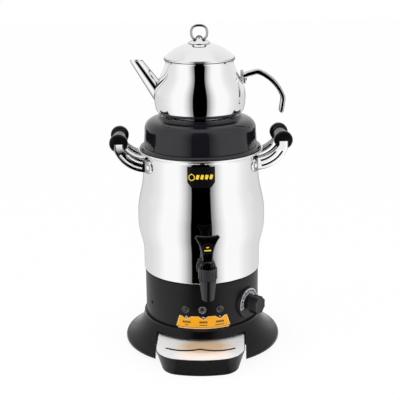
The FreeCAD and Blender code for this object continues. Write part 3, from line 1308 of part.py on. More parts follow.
def tap_emblem():
    start = emblem_seat()
    return tap_frame(outward(EMBLEM_RADIUS, start, start + EMBLEM_THICKNESS, 0, EMBLEM_Z))


# Drip tray

def tray_outline(inset_side, inset_front, inset_rear, corner):
    """Edges of the tray's plan at z = 0: straight sides, rounded corners and a bowed front."""
    half = TRAY_HALF_WIDTH - inset_side
    front = TRAY_FRONT_RADIUS - inset_front
    rear = TRAY_REAR_Y - inset_rear
    reach = front - corner
    side_y = -sqrt(reach ** 2 - (half - corner) ** 2)
    angle = asin((half - corner) / reach)
    arc_end = V(front * sin(angle), -front * cos(angle), 0)
    centre = V(half - corner, side_y, 0)
    turn = (V(1, 0, 0) + V(sin(angle), -cos(angle), 0)).normalize()
    middle = centre + turn * corner
    side = V(half, side_y, 0)
    back = V(half, rear, 0)

    def flip(p):
        return V(-p.x, p.y, p.z)

    edges = [Part.LineSegment(back, side).toShape(), Part.Arc(side, middle, arc_end).toShape()]
    edges.append(Part.Arc(arc_end, V(0, -front, 0), flip(arc_end)).toShape())
    edges.append(Part.Arc(flip(arc_end), flip(middle), flip(side)).toShape())
    edges.append(Part.LineSegment(flip(side), flip(back)).toShape())
    edges.append(Part.LineSegment(flip(back), back).toShape())
    return Part.Wire(edges)


def lifted(wire, z):
    copy = wire.copy()
    copy.translate(V(0, 0, z))
    return copy


def tray_prism(inset, low, high):
    """Upright prism on the tray's top plan, moved inwards by inset."""
    plan = tray_outline(inset, inset, inset, TRAY_CORNER_RADIUS - inset)
    return Part.Face(lifted(plan, low)).extrude(V(0, 0, high - low))


def tray_frustum(wall, low, high):
    """Body between the plan at the tray's foot and the plan at its top, moved inwards by wall."""
    span = TRAY_TOP_Z - TRAY_BOTTOM_Z
    wires = []
    for z in (low, high):
        share = (TRAY_TOP_Z - z) / span
        inset_side = wall + TRAY_TAPER_SIDE * share
        inset_front = wall + TRAY_TAPER_FRONT * share
        corner = TRAY_CORNER_RADIUS + (TRAY_LOW_CORNER_RADIUS - TRAY_CORNER_RADIUS) * share
        wires.append(lifted(tray_outline(inset_side, inset_front, wall, corner - wall), z))
    return Part.makeLoft(wires, True, True)


def drip_tray():
    """Tapered tray with a rebate for its plate and a hook at the rear that lies on the bay's shelf."""
    body = tray_frustum(0, TRAY_BOTTOM_Z, TRAY_TOP_Z)
    body = body.cut(tray_frustum(TRAY_WALL, TRAY_BOTTOM_Z + TRAY_WALL, TRAY_TOP_Z))
    ledge = tray_prism(TRAY_WALL / 2, PLATE_LOW_Z - TRAY_WALL, PLATE_LOW_Z)
    ledge = ledge.cut(tray_prism(TRAY_WALL + PLATE_REBATE, 0, 2 * TRAY_TOP_Z))
    ledge = ledge.common(tray_frustum(TRAY_WALL / 2, TRAY_BOTTOM_Z, TRAY_TOP_Z))
    body = body.fuse(ledge)
    body = body.cut(tray_prism(PLATE_INSET, PLATE_LOW_Z, 2 * TRAY_TOP_Z))
    hook_low = TRAY_TOP_Z - PLATE_THICKNESS - 2 * TRAY_WALL
    hook = block(
        (-SHELF_HALF_WIDTH, TRAY_REAR_Y - TRAY_WALL / 2, hook_low),
        (SHELF_HALF_WIDTH, TRAY_REAR_Y + SHELF_DEPTH, hook_low + TRAY_WALL),
    )
    return body.fuse(hook).removeSplitter()


def plate_slot():
    """Slot across the plate in two shallow bows, of even width."""
    half = SLOT_WIDTH / 2
    y, reach, bow = SLOT_CENTRE_Y, SLOT_HALF_LENGTH, SLOT_BOW
    z = PLATE_LOW_Z - 1
    rise = bow / 2
    edges = []
    for s in (1, -1):
        for shift in (half, -half):
            start, end = V(0, y + shift, z), V(s * reach, y + rise + shift, z)
            edges.append(Part.Arc(start, V(s * reach / 2, y - bow + shift, z), end).toShape())
        near, far = V(s * reach, y + rise - half, z), V(s * reach, y + rise + half, z)
        edges.append(Part.Arc(near, V(s * (reach + half), y + rise, z), far).toShape())
    wire = Part.Wire(Part.__sortEdges__(edges))
    return Part.Face(wire).extrude(V(0, 0, PLATE_THICKNESS + 2))


def drip_plate():
    """Steel plate in the tray's rebate."""
    return tray_prism(PLATE_INSET + SEAT, PLATE_LOW_Z, TRAY_TOP_Z).cut(plate_slot())


# Boiler cover

def cover_line(inset):
    """Edges of the cover's wall from its foot over the shoulder to the seat ring, moved in by inset."""
    foot = (COVER_FOOT_RADIUS - inset, COVER_FOOT_Z)
    shoulder = (COVER_SHOULDER_RADIUS - inset, COVER_SHOULDER_Z)
    deck = (COVER_DECK_RADIUS - inset / 2, COVER_DECK_Z - inset)
    ring = (SEAT_RING_OUTER_RADIUS, SEAT_RING_FOOT_Z - inset)
    edges = [line(foot, shoulder), bowed(shoulder, deck, COVER_SHOULDER_BULGE), line(deck, ring)]
    return edges, foot, ring


def boiler_cover():
    """Dome with a spigot in the boiler's neck, a flange in its flared rim and a seat for the teapot."""
    outer, foot, ring = cover_line(0)
    inner, inner_foot, inner_ring = cover_line(COVER_WALL)
    flange_top = (COVER_FLANGE_RADIUS, COVER_FLANGE_TOP_Z)
    flange_low = (COVER_FLANGE_RADIUS - 0.6, COVER_FLANGE_LOW_Z)
    hollow_z = (COVER_FLANGE_TOP_Z + COVER_FOOT_Z) / 2 - 0.5
    hollow = ((COVER_FLANGE_RADIUS + 3 * COVER_FOOT_RADIUS) / 4, hollow_z)
    corner = (COVER_SPIGOT_RADIUS, COVER_FLANGE_LOW_Z)
    spigot_inner = COVER_SPIGOT_RADIUS - COVER_WALL
    floor_low = SEAT_FLOOR_Z - COVER_WALL
    outline = outer + inner
    outline.append(arc(foot, hollow, flange_top))
    outline.append(line(flange_top, flange_low))
    outline.append(line(flange_low, corner))
    outline.append(line(corner, (COVER_SPIGOT_RADIUS, COVER_SPIGOT_LOW_Z)))
    outline.append(line((COVER_SPIGOT_RADIUS, COVER_SPIGOT_LOW_Z), (spigot_inner, COVER_SPIGOT_LOW_Z)))
    outline.append(line((spigot_inner, COVER_SPIGOT_LOW_Z), inner_foot))
    lip = (SEAT_RING_OUTER_RADIUS - 0.4, SEAT_RING_TOP_Z - 1.4)
    crest = (SEAT_RING_OUTER_RADIUS - 1.8, SEAT_RING_TOP_Z)
    inner_crest = (SEAT_RING_INNER_RADIUS + 1.0, SEAT_RING_TOP_Z)
    floor_edge = (SEAT_RING_INNER_RADIUS, SEAT_FLOOR_Z)
    outline += [line(ring, lip), line(lip, crest), line(crest, inner_crest)]
    outline.append(line(inner_crest, floor_edge))
    outline.append(line(floor_edge, (COVER_OPENING_RADIUS, SEAT_FLOOR_Z)))
    outline.append(line((COVER_OPENING_RADIUS, SEAT_FLOOR_Z), (COVER_OPENING_RADIUS, floor_low)))
    outline.append(line((COVER_OPENING_RADIUS, floor_low), inner_ring))
    return spun(outline)


# Teapot

def pot_wall(wall):
    """Edges of the teapot's side from its heel to its neck, moved inwards by wall."""
    heel = POT_HEEL_RADIUS - wall
    centre = (POT_HEEL_CENTRE_RADIUS, POT_HEEL_Z + POT_HEEL_RADIUS)
    start = (centre[0], centre[1] - heel)
    tilt = radians(POT_HEEL_ANGLE)
    end = (centre[0] + heel * cos(tilt), centre[1] - heel * sin(tilt))
    lean = (radians(90) - tilt) / 2
    middle = (centre[0] + heel * sin(lean), centre[1] - heel * cos(lean))
    belly = POT_BELLY_RADIUS - wall
    bow = (belly - end[0]) / (1 - cos(tilt))
    full = end[1] + bow * sin(tilt)
    half = tilt / 2
    rise = (belly - bow * (1 - cos(half)), full - bow * sin(half))
    neck = POT_NECK_RADIUS - wall
    edges = [arc(start, middle, end), arc(end, rise, (belly, full))]
    edges.append(line((belly, full), (belly, POT_BELLY_HIGH_Z)))
    shoulder = Part.BezierCurve()
    handles = (belly, POT_SHOULDER_HANDLE_Z), (neck + POT_NECK_HANDLE_RUN, POT_NECK_HANDLE_Z)
    shoulder.setPoles([at(*p) for p in ((belly, POT_BELLY_HIGH_Z), *handles, (neck, POT_NECK_Z))])
    edges.append(shoulder.toShape())
    edges.append(line((neck, POT_NECK_Z), (POT_RIM_RADIUS - wall, POT_RIM_Z)))
    return edges, start, (POT_RIM_RADIUS - wall, POT_RIM_Z)


def teapot_body():
    """Bellied steel pot on a stepped foot, with a beaded rim and an opening into the spout."""
    outer, outer_start, outer_end = pot_wall(0)
    inner, inner_start, inner_end = pot_wall(POT_WALL)
    foot, soft = POT_FOOT_RADIUS, POT_FOOT_ROUND
    edges = outer + inner + [line(outer_end, inner_end)]
    edges.append(line((0, POT_BOTTOM_Z), (foot - soft, POT_BOTTOM_Z)))
    bulge = soft * (1 - cos(radians(45)))
    edges.append(bowed((foot - soft, POT_BOTTOM_Z), (foot, POT_BOTTOM_Z + soft), bulge))
    edges.append(line((foot, POT_BOTTOM_Z + soft), (foot, outer_start[1])))
    edges.append(line((foot, outer_start[1]), outer_start))
    edges.append(line(inner_start, (0, inner_start[1])))
    edges.append(line((0, inner_start[1]), (0, POT_BOTTOM_Z)))
    pot = spun(edges)
    bead = Part.makeTorus(POT_RIM_RADIUS - POT_WALL / 2, POT_RIM_BEAD, V(0, 0, POT_RIM_Z))
    pot = pot.fuse(bead)
    return pot.cut(spout_cone(-SPOUT_WALL - SEAT)).removeSplitter()


def pot_volume(extra):
    """The teapot's filled outer shape, grown by extra, to trim what is fixed to its side."""
    outer, start, end = pot_wall(-extra)
    edges = outer + [line((0, start[1]), start), line((0, start[1]), (0, end[1])), line((0, end[1]), end)]
    return spun(edges)


def spout_cone(grow):
    """Tapered rod along the spout, from inside the pot to beyond the tip."""
    root, tip = V(SPOUT_ROOT[0], 0, SPOUT_ROOT[1]), V(SPOUT_TIP[0], 0, SPOUT_TIP[1])
    along = tip - root
    length = along.Length
    along = along.normalize()
    taper = (SPOUT_TIP_RADIUS - SPOUT_ROOT_RADIUS) / length
    before, after = SPOUT_OVERSHOOT, SPOUT_OVERSHOOT
    start_radius = SPOUT_ROOT_RADIUS - taper * before + grow
    end_radius = SPOUT_TIP_RADIUS + taper * after + grow
    return Part.makeCone(start_radius, end_radius, before + length + after, root - along * before, along)


def teapot_spout():
    """Straight tapered spout, cut level at its tip and trimmed to the pot's side."""
    spout = spout_cone(0).cut(spout_cone(-SPOUT_WALL))
    reach, x = 3 * SPOUT_ROOT_RADIUS, SPOUT_TIP[0]
    above = block((x - reach, -reach, SPOUT_CUT_Z), (x + reach, reach, SPOUT_CUT_Z + reach))
    return spout.cut(above).cut(pot_volume(PUSH_IN))


def teapot_bracket():
    """Saddle between the pot's side and the strap."""
    half = BRACKET_HALF_WIDTH
    body = block((0, -half, BRACKET_LOW_Z), (BRACKET_OUTER_X, half, BRACKET_HIGH_Z))
    edges = [e for e in body.Edges if e.BoundBox.ZLength > 1 and e.BoundBox.XMin > 1]
    body = body.makeFillet(2.0, edges)
    screw = strap_screw_rod(STRAP_SCREW_RADIUS + RUNNING, -STRAP_SCREW_LENGTH - 1, 20)
    return body.cut(pot_volume(PUSH_IN)).cut(screw)


def strap_sides():
    """Edges on both sides of the strap, which bends through tangent arcs, and its two ends."""
    x, z = STRAP_ROOT
    half = STRAP_THICKNESS / 2
    upper, lower = [], []
    for start, end, radius in zip(STRAP_HEADINGS, STRAP_HEADINGS[1:], STRAP_RADII):
        centre = (x + radius * sin(radians(start)), z - radius * cos(radians(start)))
        for edges, reach in ((upper, radius + half), (lower, radius - half)):
            points = []
            for heading in (start, (start + end) / 2, end):
                lean = radians(heading)
                points.append((centre[0] - reach * sin(lean), centre[1] + reach * cos(lean)))
            edges.append(arc(*points))
        x = centre[0] - radius * sin(radians(end))
        z = centre[1] + radius * cos(radians(end))
    return upper, lower, (x, z)


def strap_outline():
    upper, lower, (x, z) = strap_sides()
    half = STRAP_THICKNESS / 2
    first, last = radians(STRAP_HEADINGS[0]), radians(STRAP_HEADINGS[-1])

    def beside(px, pz, lean, offset):
        return (px - offset * sin(lean), pz + offset * cos(lean))

    end_x, end_z = x + STRAP_TAIL * cos(last), z + STRAP_TAIL * sin(last)
    tip = (end_x + half * cos(last), end_z + half * sin(last))
    edges = upper + lower
    edges.append(line(beside(x, z, last, half), beside(end_x, end_z, last, half)))
    edges.append(line(beside(x, z, last, -half), beside(end_x, end_z, last, -half)))
    edges.append(arc(beside(end_x, end_z, last, half), tip, beside(end_x, end_z, last, -half)))
    root_x, root_z = STRAP_ROOT
    edges.append(line(beside(root_x, root_z, first, half), beside(root_x, root_z, first, -half)))
    return face_of(edges)


def strap_screw_rod(radius, start, end):
    """Rod along X through the strap's foot and the bracket, measured from the bracket's face."""
    return rod(V(BRACKET_OUTER_X + start, 0, BRACKET_LOW_Z + STRAP_SCREW_RISE), SIDE, radius, end - start)


def teapot_handle():
    """Strap of even thickness that ends in the air, with a foot that lies on the bracket."""
    half = STRAP_WIDTH / 2
    strap = slab(strap_outline(), -half, half)
    seat = BRACKET_OUTER_X + PUSH_IN
    foot = block(
        (seat, -BRACKET_HALF_WIDTH, BRACKET_LOW_Z + 1),
        (seat + STRAP_FOOT_THICKNESS, BRACKET_HALF_WIDTH, BRACKET_HIGH_Z - 5),
    )
    root = block((0, -STRAP_WIDTH, 0), (seat, STRAP_WIDTH, 2 * BRACKET_HIGH_Z))
    hole = strap_screw_rod(STRAP_SCREW_RADIUS + PUSH_IN, -1, STRAP_FOOT_THICKNESS + 20)
    sink = strap_screw_rod(STRAP_SCREW_HEAD_RADIUS + SEAT, STRAP_FOOT_THICKNESS + PUSH_IN, 20)
    return without(joined([strap, foot]), [root, hole, sink])


def strap_screw():
    start = PUSH_IN + STRAP_FOOT_THICKNESS
    head = strap_screw_rod(STRAP_SCREW_HEAD_RADIUS, start, start + STRAP_SCREW_HEAD_HEIGHT)
    shank = strap_screw_rod(STRAP_SCREW_RADIUS, start - STRAP_SCREW_LENGTH, start)
    return joined([head, shank])


# Lid

def lid_shell():
    """Domed lid that lies on the teapot's rim, with a spigot inside its neck."""
    radius, inner = LID_SPHERE_RADIUS, LID_SPHERE_RADIUS - POT_WALL
    centre, hole = LID_CENTRE_Z, LID_SCREW_RADIUS + PUSH_IN
    rest = POT_RIM_Z + POT_RIM_BEAD + SEAT
    spigot = POT_NECK_RADIUS - POT_WALL - LID_SPIGOT_GAP

    def dome(r, ball):
        return (r, centre + sqrt(ball ** 2 - r ** 2))

    mid = LID_RADIUS / 2
    low = POT_NECK_Z - LID_SPIGOT_DEPTH / 3
    spigot_inner = spigot - POT_WALL
    edges = [arc(dome(hole, radius), dome(mid, radius), dome(LID_RADIUS, radius))]
    edges.append(line(dome(LID_RADIUS, radius), (LID_RADIUS, rest)))
    edges.append(line((LID_RADIUS, rest), (spigot, rest)))
    edges.append(line((spigot, rest), (spigot, low)))
    edges.append(line((spigot, low), (spigot_inner, low)))
    edges.append(line((spigot_inner, low), dome(spigot_inner, inner)))
    edges.append(arc(dome(spigot_inner, inner), dome(mid, inner), dome(hole, inner)))
    edges.append(line(dome(hole, inner), dome(hole, radius)))
    return spun(edges)


def lid_pedestal():
    """Low turned step between the dome and the saucer, hollowed to the dome."""
    post = upright(0, 0, PEDESTAL_RADIUS, LID_APEX_Z - 6, PEDESTAL_TOP_Z)
    ball = Part.makeSphere(LID_SPHERE_RADIUS + PUSH_IN, V(0, 0, LID_CENTRE_Z))
    return post.cut(ball).cut(upright(0, 0, LID_SCREW_RADIUS + PUSH_IN, 0, 2 * LID_APEX_Z))


def lid_saucer():
    """Shallow cone under the ring, its rim drooped to just above the dome."""
    low, high, radius = PEDESTAL_TOP_Z, SAUCER_TOP_Z, SAUCER_RADIUS
    hole = LID_SCREW_RADIUS + PUSH_IN
    rim_low = (radius - SAUCER_RIM_THICKNESS / 2, low - SAUCER_RIM_DROP)
    rim_high = (radius, low - SAUCER_RIM_DROP + SAUCER_RIM_THICKNESS)
    edges = [line((hole, low), (PEDESTAL_RADIUS, low)), line((PEDESTAL_RADIUS, low), rim_low)]
    edges += [line(rim_low, rim_high), bowed(rim_high, (SAUCER_TOP_RADIUS, high), -0.25)]
    edges += [line((SAUCER_TOP_RADIUS, high), (hole, high)), line((hole, high), (hole, low))]
    return spun(edges)


def lid_ring():
    """Upright ring that grows out of a small domed boss."""
    rise, radius = FINIAL_HEIGHT, FINIAL_RADIUS
    ball_radius = (radius ** 2 + rise ** 2) / (2 * rise)
    ball = Part.makeSphere(ball_radius, V(0, 0, SAUCER_TOP_Z + rise - ball_radius))
    boss = upright(0, 0, 2 * radius, SAUCER_TOP_Z, SAUCER_TOP_Z + 2 * rise).common(ball)
    ring = Part.makeTorus(RING_RADIUS, RING_TUBE_RADIUS, V(0, 0, RING_CENTRE_Z), V(0, 1, 0))
    ring = ring.cut(upright(0, 0, SAUCER_RADIUS * 2, 0, SAUCER_TOP_Z))
    hole = upright(0, 0, LID_SCREW_RADIUS + RUNNING, 0, SAUCER_TOP_Z + rise / 2)
    return joined([boss, ring]).cut(hole)


def lid_screw():
    inner_apex = LID_CENTRE_Z + LID_SPHERE_RADIUS - POT_WALL
    head_top = inner_apex - PUSH_IN
    head = upright(0, 0, LID_SCREW_HEAD_RADIUS, head_top - LID_SCREW_HEAD_HEIGHT, head_top)
    shank = upright(0, 0, LID_SCREW_RADIUS, head_top - 1, SAUCER_TOP_Z + FINIAL_HEIGHT / 2 - PUSH_IN)
    return joined([head, shank])


def handle_parts():
    """Arms, grips, rods and rivets of both side handles."""
    parts = {}
    names = ("arm_right_front", "arm_right_rear", "arm_left_front", "arm_left_rear")
    for name, shape in zip(names, four_corners(arm())):
        parts[name] = shape
    for name, shape in (("grip_right", grip()), ("grip_left", mirrored_x(grip()))):
        parts[name] = turned(shape, HANDLE_TURN)
    rods = [turned(s, HANDLE_TURN) for s in (grip_rod(), mirrored_x(grip_rod()))]
    parts["grip_rods"] = Part.makeCompound(rods)
    parts["arm_rivets"] = Part.makeCompound(four_corners(rivet()))
    return parts


def nodes():
    """Every sub-part of the urn by its name."""
    parts = {
        "foot_strip": foot_strip(),
        "base_pan": base_pan(),
        "base_skirt": base_skirt(),
        "base_screws": base_screws(),
        "base_casing": casing(),
        "casing_screws": casing_screws(),
        "heat_shield": heat_shield(),
        "tank_seal": tank_seal(),
        "boiler_tank": boiler_tank(),
        "heating_element": heating_element(),
        "element_bushes": element_bushes(),
        "element_gaskets": element_gaskets(),
        "element_nuts": element_nuts(),
        "tie_rod": tie_rod(),
        "tie_nut": tie_nut(),
        "overheat_cutout": cutout(),
        "front_badge": front_badge(),
        "dial_bezel": dial_bezel(),
        "thermostat_body": thermostat_body(),
        "thermostat_screws": thermostat_screws(),
        "capillary_tube": capillary(),
        "thermostat_shaft": thermostat_shaft(),
        "thermostat_knob": thermostat_knob(),
        "lamp_bezels": lamp_bezels(),
        "lamp_lenses": lamp_lenses(),
        "lamp_bodies": lamp_bodies(),
        "label_plate": label_plate(),
        "cable_gland": cable_gland(),
        "terminal_block": terminal_block(),
        "tap_body": tap_body(),
        "tap_washers": tap_washers(),
        "tap_nut": tap_nut(),
        "tap_bonnet": tap_bonnet(),
        "tap_stem": tap_stem(),
        "valve_plug": valve_plug(),
        "tap_spring": tap_spring(),
        "tap_pin": tap_pin(),
        "tap_lever": tap_lever(),
        "tap_emblem": tap_emblem(),
        "drip_tray": drip_tray(),
        "drip_plate": drip_plate(),
        "boiler_cover": boiler_cover(),
        "teapot_body": teapot_body(),
        "teapot_spout": teapot_spout(),
        "teapot_bracket": teapot_bracket(),
        "teapot_handle": teapot_handle(),
        "strap_screw": strap_screw(),
        "lid_shell": lid_shell(),
        "lid_pedestal": lid_pedestal(),
        "lid_saucer": lid_saucer(),
        "lid_ring": lid_ring(),
        "lid_screw": lid_screw(),
    }
    parts.update(handle_parts())
    for name in ("base_pan", "base_skirt", "base_screws", "drip_tray", "drip_plate"):
        parts[name] = turned(parts[name], BASE_TURN)
    return parts


os.makedirs("parts", exist_ok=True)
for name, shape in nodes().items():
    shape.exportStep("parts/" + name + ".step")
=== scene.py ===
import json
from math import atan2, cos, degrees, pi, radians, sin, sqrt

import bmesh
import bpy
import numpy as np
from mathutils import Matrix, Vector


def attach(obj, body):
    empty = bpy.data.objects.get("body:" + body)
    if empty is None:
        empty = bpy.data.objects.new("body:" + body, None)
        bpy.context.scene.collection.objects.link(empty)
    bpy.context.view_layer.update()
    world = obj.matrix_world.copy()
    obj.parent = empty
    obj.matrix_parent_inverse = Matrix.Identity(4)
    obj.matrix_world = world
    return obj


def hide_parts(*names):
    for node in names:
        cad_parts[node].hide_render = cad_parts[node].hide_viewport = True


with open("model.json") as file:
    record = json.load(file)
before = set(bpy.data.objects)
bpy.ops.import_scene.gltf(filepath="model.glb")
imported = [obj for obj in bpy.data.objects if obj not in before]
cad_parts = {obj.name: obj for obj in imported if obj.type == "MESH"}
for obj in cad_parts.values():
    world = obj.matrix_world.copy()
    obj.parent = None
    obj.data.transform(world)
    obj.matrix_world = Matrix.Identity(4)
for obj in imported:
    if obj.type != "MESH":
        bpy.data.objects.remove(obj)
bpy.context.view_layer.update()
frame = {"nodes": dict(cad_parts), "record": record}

# Lengths in this script are in millimetres until a mesh is made, and angles are in degrees.
MM = 0.001

# Camera
CAMERA_PLACE = (0.0, -1.7945, 0.8110)
CAMERA_PITCH = 0.286
CAMERA_YAW = 0.00113
CAMERA_ROLL = -0.012
CAMERA_LENS = 87.39
CAMERA_SENSOR = 36.0

# Turns of the urn's groups about its axis
BASE_TURN = -1.8
HANDLE_TURN = 2.5
TAP_TURN = 3.8
DIAL_ANGLE = 52.0
LABEL_TURN = 0.9
BADGE_ANGLE = 0.35
LAMP_ANGLES = (-16.4, 0.0, 17.3)
LAMP_Z = 101.2

# Boiler tank
TANK_BOTTOM_Z = 152.4
TANK_FOOT_RADIUS = 111.7
TANK_BELLY_RADIUS = 121.2
TANK_NECK_RADIUS = 110.1
TANK_WALL = 0.8

# Teapot and lid
POT_BOTTOM_Z = 449.8
POT_BELLY_RADIUS = 85.2
POT_NECK_RADIUS = 62.9
LID_SPHERE_RADIUS = 92.0
LID_CENTRE_Z = 494.3


# Camera and view

scene = bpy.context.scene
scene.view_settings.view_transform = "Standard"
camera = bpy.data.objects.new("camera", bpy.data.cameras.new("camera"))
camera.data.lens = CAMERA_LENS
camera.data.sensor_width = CAMERA_SENSOR
camera.matrix_world = (
    Matrix.Translation(CAMERA_PLACE)
    @ Matrix.Rotation(CAMERA_YAW, 4, "Z")
    @ Matrix.Rotation(pi / 2 - CAMERA_PITCH, 4, "X")
    @ Matrix.Rotation(CAMERA_ROLL, 4, "Z")
)
scene.collection.objects.link(camera)
scene.camera = camera


# Outlines, each an array of points (distance from an axis, height along it)

def run(a, b, count=2):
    """Points at even steps on the straight line from a to b."""
    share = np.linspace(0, 1, count)[:, None]
    return np.array(a) + (np.array(b) - np.array(a)) * share


def bend(centre, radius, start, end, count=12):
    """Points on a circle about centre, from one angle to another, counted from the outward direction."""
    angle = np.radians(np.linspace(start, end, count))
    return np.stack([centre[0] + radius * np.cos(angle), centre[1] + radius * np.sin(angle)], -1)


def bow(a, b, rise, count=16):
    """Shallow bow from a to b: the chord plus 4 t (1 - t) times the rise, to the right of the way there."""
    t = np.linspace(0, 1, count)[:, None]
    way = np.array(b) - np.array(a)
    right = np.array([way[1], -way[0]]) / np.hypot(*way)
    return np.array(a) + way * t + 4 * t * (1 - t) * rise * right


def cubic(a, p, q, b, count=40):
    """Cubic curve from a to b with the handle points p and q."""
    t = np.linspace(0, 1, count)[:, None]
    a, p, q, b = (np.array(point) for point in (a, p, q, b))
    return (1 - t) ** 3 * a + 3 * (1 - t) ** 2 * t * p + 3 * (1 - t) * t ** 2 * q + t ** 3 * b


def swell(a, b, count=40):
    """Cubic between two heights, upright at both ends, with handles of 0.364 of the height."""
    reach = (b[1] - a[1]) * 0.364
    return cubic(a, (a[0], a[1] + reach), (b[0], b[1] - reach), b, count)


def eased(corners, radius, steps=5, closed=False):
    """Corners (r, z, optional radius) joined by straight runs, each corner eased by a quadratic curve
    that starts and ends the radius away from it, and each run held by a point near both of its ends."""
    points = np.array([c[:2] for c in corners], float)
    radii = np.array([c[2] if len(c) > 2 else radius for c in corners], float)
    before, after = np.roll(points, 1, 0) - points, np.roll(points, -1, 0) - points
    reach_b, reach_a = np.hypot(*before.T), np.hypot(*after.T)
    cut_b = np.minimum(radii, 0.45 * reach_b)[:, None] / np.maximum(reach_b, 1e-9)[:, None]
    cut_a = np.minimum(radii, 0.45 * reach_a)[:, None] / np.maximum(reach_a, 1e-9)[:, None]
    start, end = points + before * cut_b, points + after * cut_a
    t = np.linspace(0, 1, steps)[None, :, None]
    curve = (1 - t) ** 2 * start[:, None] + 2 * t * (1 - t) * points[:, None] + t ** 2 * end[:, None]
    hold_b, hold_a = points + before * cut_b * 1.25, points + after * cut_a * 1.25
    curve = np.concatenate([hold_b[:, None], curve, hold_a[:, None]], 1)
    if not closed:
        curve[0], curve[-1] = points[0], points[-1]
    return curve.reshape(-1, 2)


def joined(*lines):
    """Lines of points one after the other."""
    return np.concatenate(lines)


# Surfaces, each a grid of points and the faces between them

def grid(points, wrap_rows=False, wrap_columns=False):
    """Vertices and four-cornered faces of a grid of points, closed on itself where a wrap is asked for."""
    rows, columns = points.shape[:2]
    index = np.arange(rows * columns).reshape(rows, columns)
    if wrap_rows:
        index = np.vstack([index, index[:1]])
    if wrap_columns:
        index = np.hstack([index, index[:, :1]])
    corners = [index[:-1, :-1], index[1:, :-1], index[1:, 1:], index[:-1, 1:]]
    return points.reshape(-1, 3), np.stack(corners, -1).reshape(-1, 4)


def spun(profile, steps=160, wrap=False):
    """Profile carried round the boiler's axis: x = r sin a, y = -r cos a, z as it is."""
    angle = np.radians(np.linspace(0, 360, steps, endpoint=False))[:, None]
    r, z = profile[None, :, 0], profile[None, :, 1]
    points = np.stack([r * np.sin(angle), -r * np.cos(angle), z + 0 * angle], -1)
    return grid(points, True, wrap)


def moved(surface, matrix):
    """Surface with its points carried by a 4 by 4 matrix in millimetres."""
    points, faces = surface
    m = np.array(matrix)
    return points @ m[:3, :3].T + m[:3, 3], faces


def round_place(angle, x=0.0, y=0.0, z=0.0):
    """Matrix of a move by x, y and z with a turn about the Z axis after it."""
    return Matrix.Rotation(radians(angle), 4, "Z") @ Matrix.Translation((x, y, z))


def turned(surface, angle):
    """Surface turned about the urn's axis."""
    return moved(surface, round_place(angle))


def outward(surface, angle, height):
    """Surface spun about its own Z axis, laid so that this axis points away from the urn, at an angle and
    a height."""
    return moved(surface, round_place(angle, z=height) @ Matrix.Rotation(pi / 2, 4, "X"))


def piece(name, surfaces, body, look, nodes=(), sharp=32):
    """One mesh from several closed surfaces, doubles merged, faces outwards, smooth except over sharp
    corners."""
    points, faces, count = [], [], 0
    for vertices, quads in surfaces:
        points.append(vertices)
        faces += (quads + count).tolist()
        count += len(vertices)
    mesh = bpy.data.meshes.new(name)
    mesh.from_pydata((np.concatenate(points) * MM).tolist(), [], faces)
    work = bmesh.new()
    work.from_mesh(mesh)
    bmesh.ops.remove_doubles(work, verts=work.verts, dist=2e-6)
    bmesh.ops.dissolve_degenerate(work, edges=work.edges, dist=1e-7)
    bmesh.ops.recalc_face_normals(work, faces=work.faces)
    work.to_mesh(mesh)
    work.free()
    mesh.polygons.foreach_set("use_smooth", np.ones(len(mesh.polygons), bool))
    mesh.set_sharp_from_angle(angle=radians(sharp))
    made = bpy.data.objects.new(name, mesh)
    scene.collection.objects.link(made)
    mesh.materials.append(look)
    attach(made, body)
    if nodes:
        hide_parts(*nodes)
    return made


# Finishes

# Grey that the edge pairs paint at grazing angles: painted dark outlines on bright steel, painted
# highlights on black plastic.
PAINTED_EDGE_GREY = (0.10, 0.10, 0.10, 1)


def added(tree, kind, inputs=None, **settings):
    """New shader node with its settings. Each named input takes a value or is joined to another node's
    output."""
    made = tree.nodes.new("ShaderNode" + kind)
    for name, value in settings.items():
        setattr(made, name, value)
    for name, value in (inputs or {}).items():
        if isinstance(value, bpy.types.NodeSocket):
            tree.links.new(value, made.inputs[name])
        else:
            made.inputs[name].default_value = value
    return made


def maths(tree, kind, *values):
    """One sum on numbers and other nodes' outputs."""
    return added(tree, "Math", dict(enumerate(values)), operation=kind).outputs["Value"]


def spread(tree, source, low, high, start=0.3, end=0.7, kind="LINEAR"):
    """Level that goes from low to high while the source goes from start to end."""
    limits = {"Value": source, "From Min": start, "From Max": end, "To Min": low, "To Max": high}
    return added(tree, "MapRange", limits, interpolation_type=kind).outputs["Result"]


def mixed(tree, share, a, b):
    """Colour that goes from a to b with the share."""
    return added(tree, "Mix", {"Factor": share, "A": a, "B": b}, data_type="RGBA").outputs["Result"]


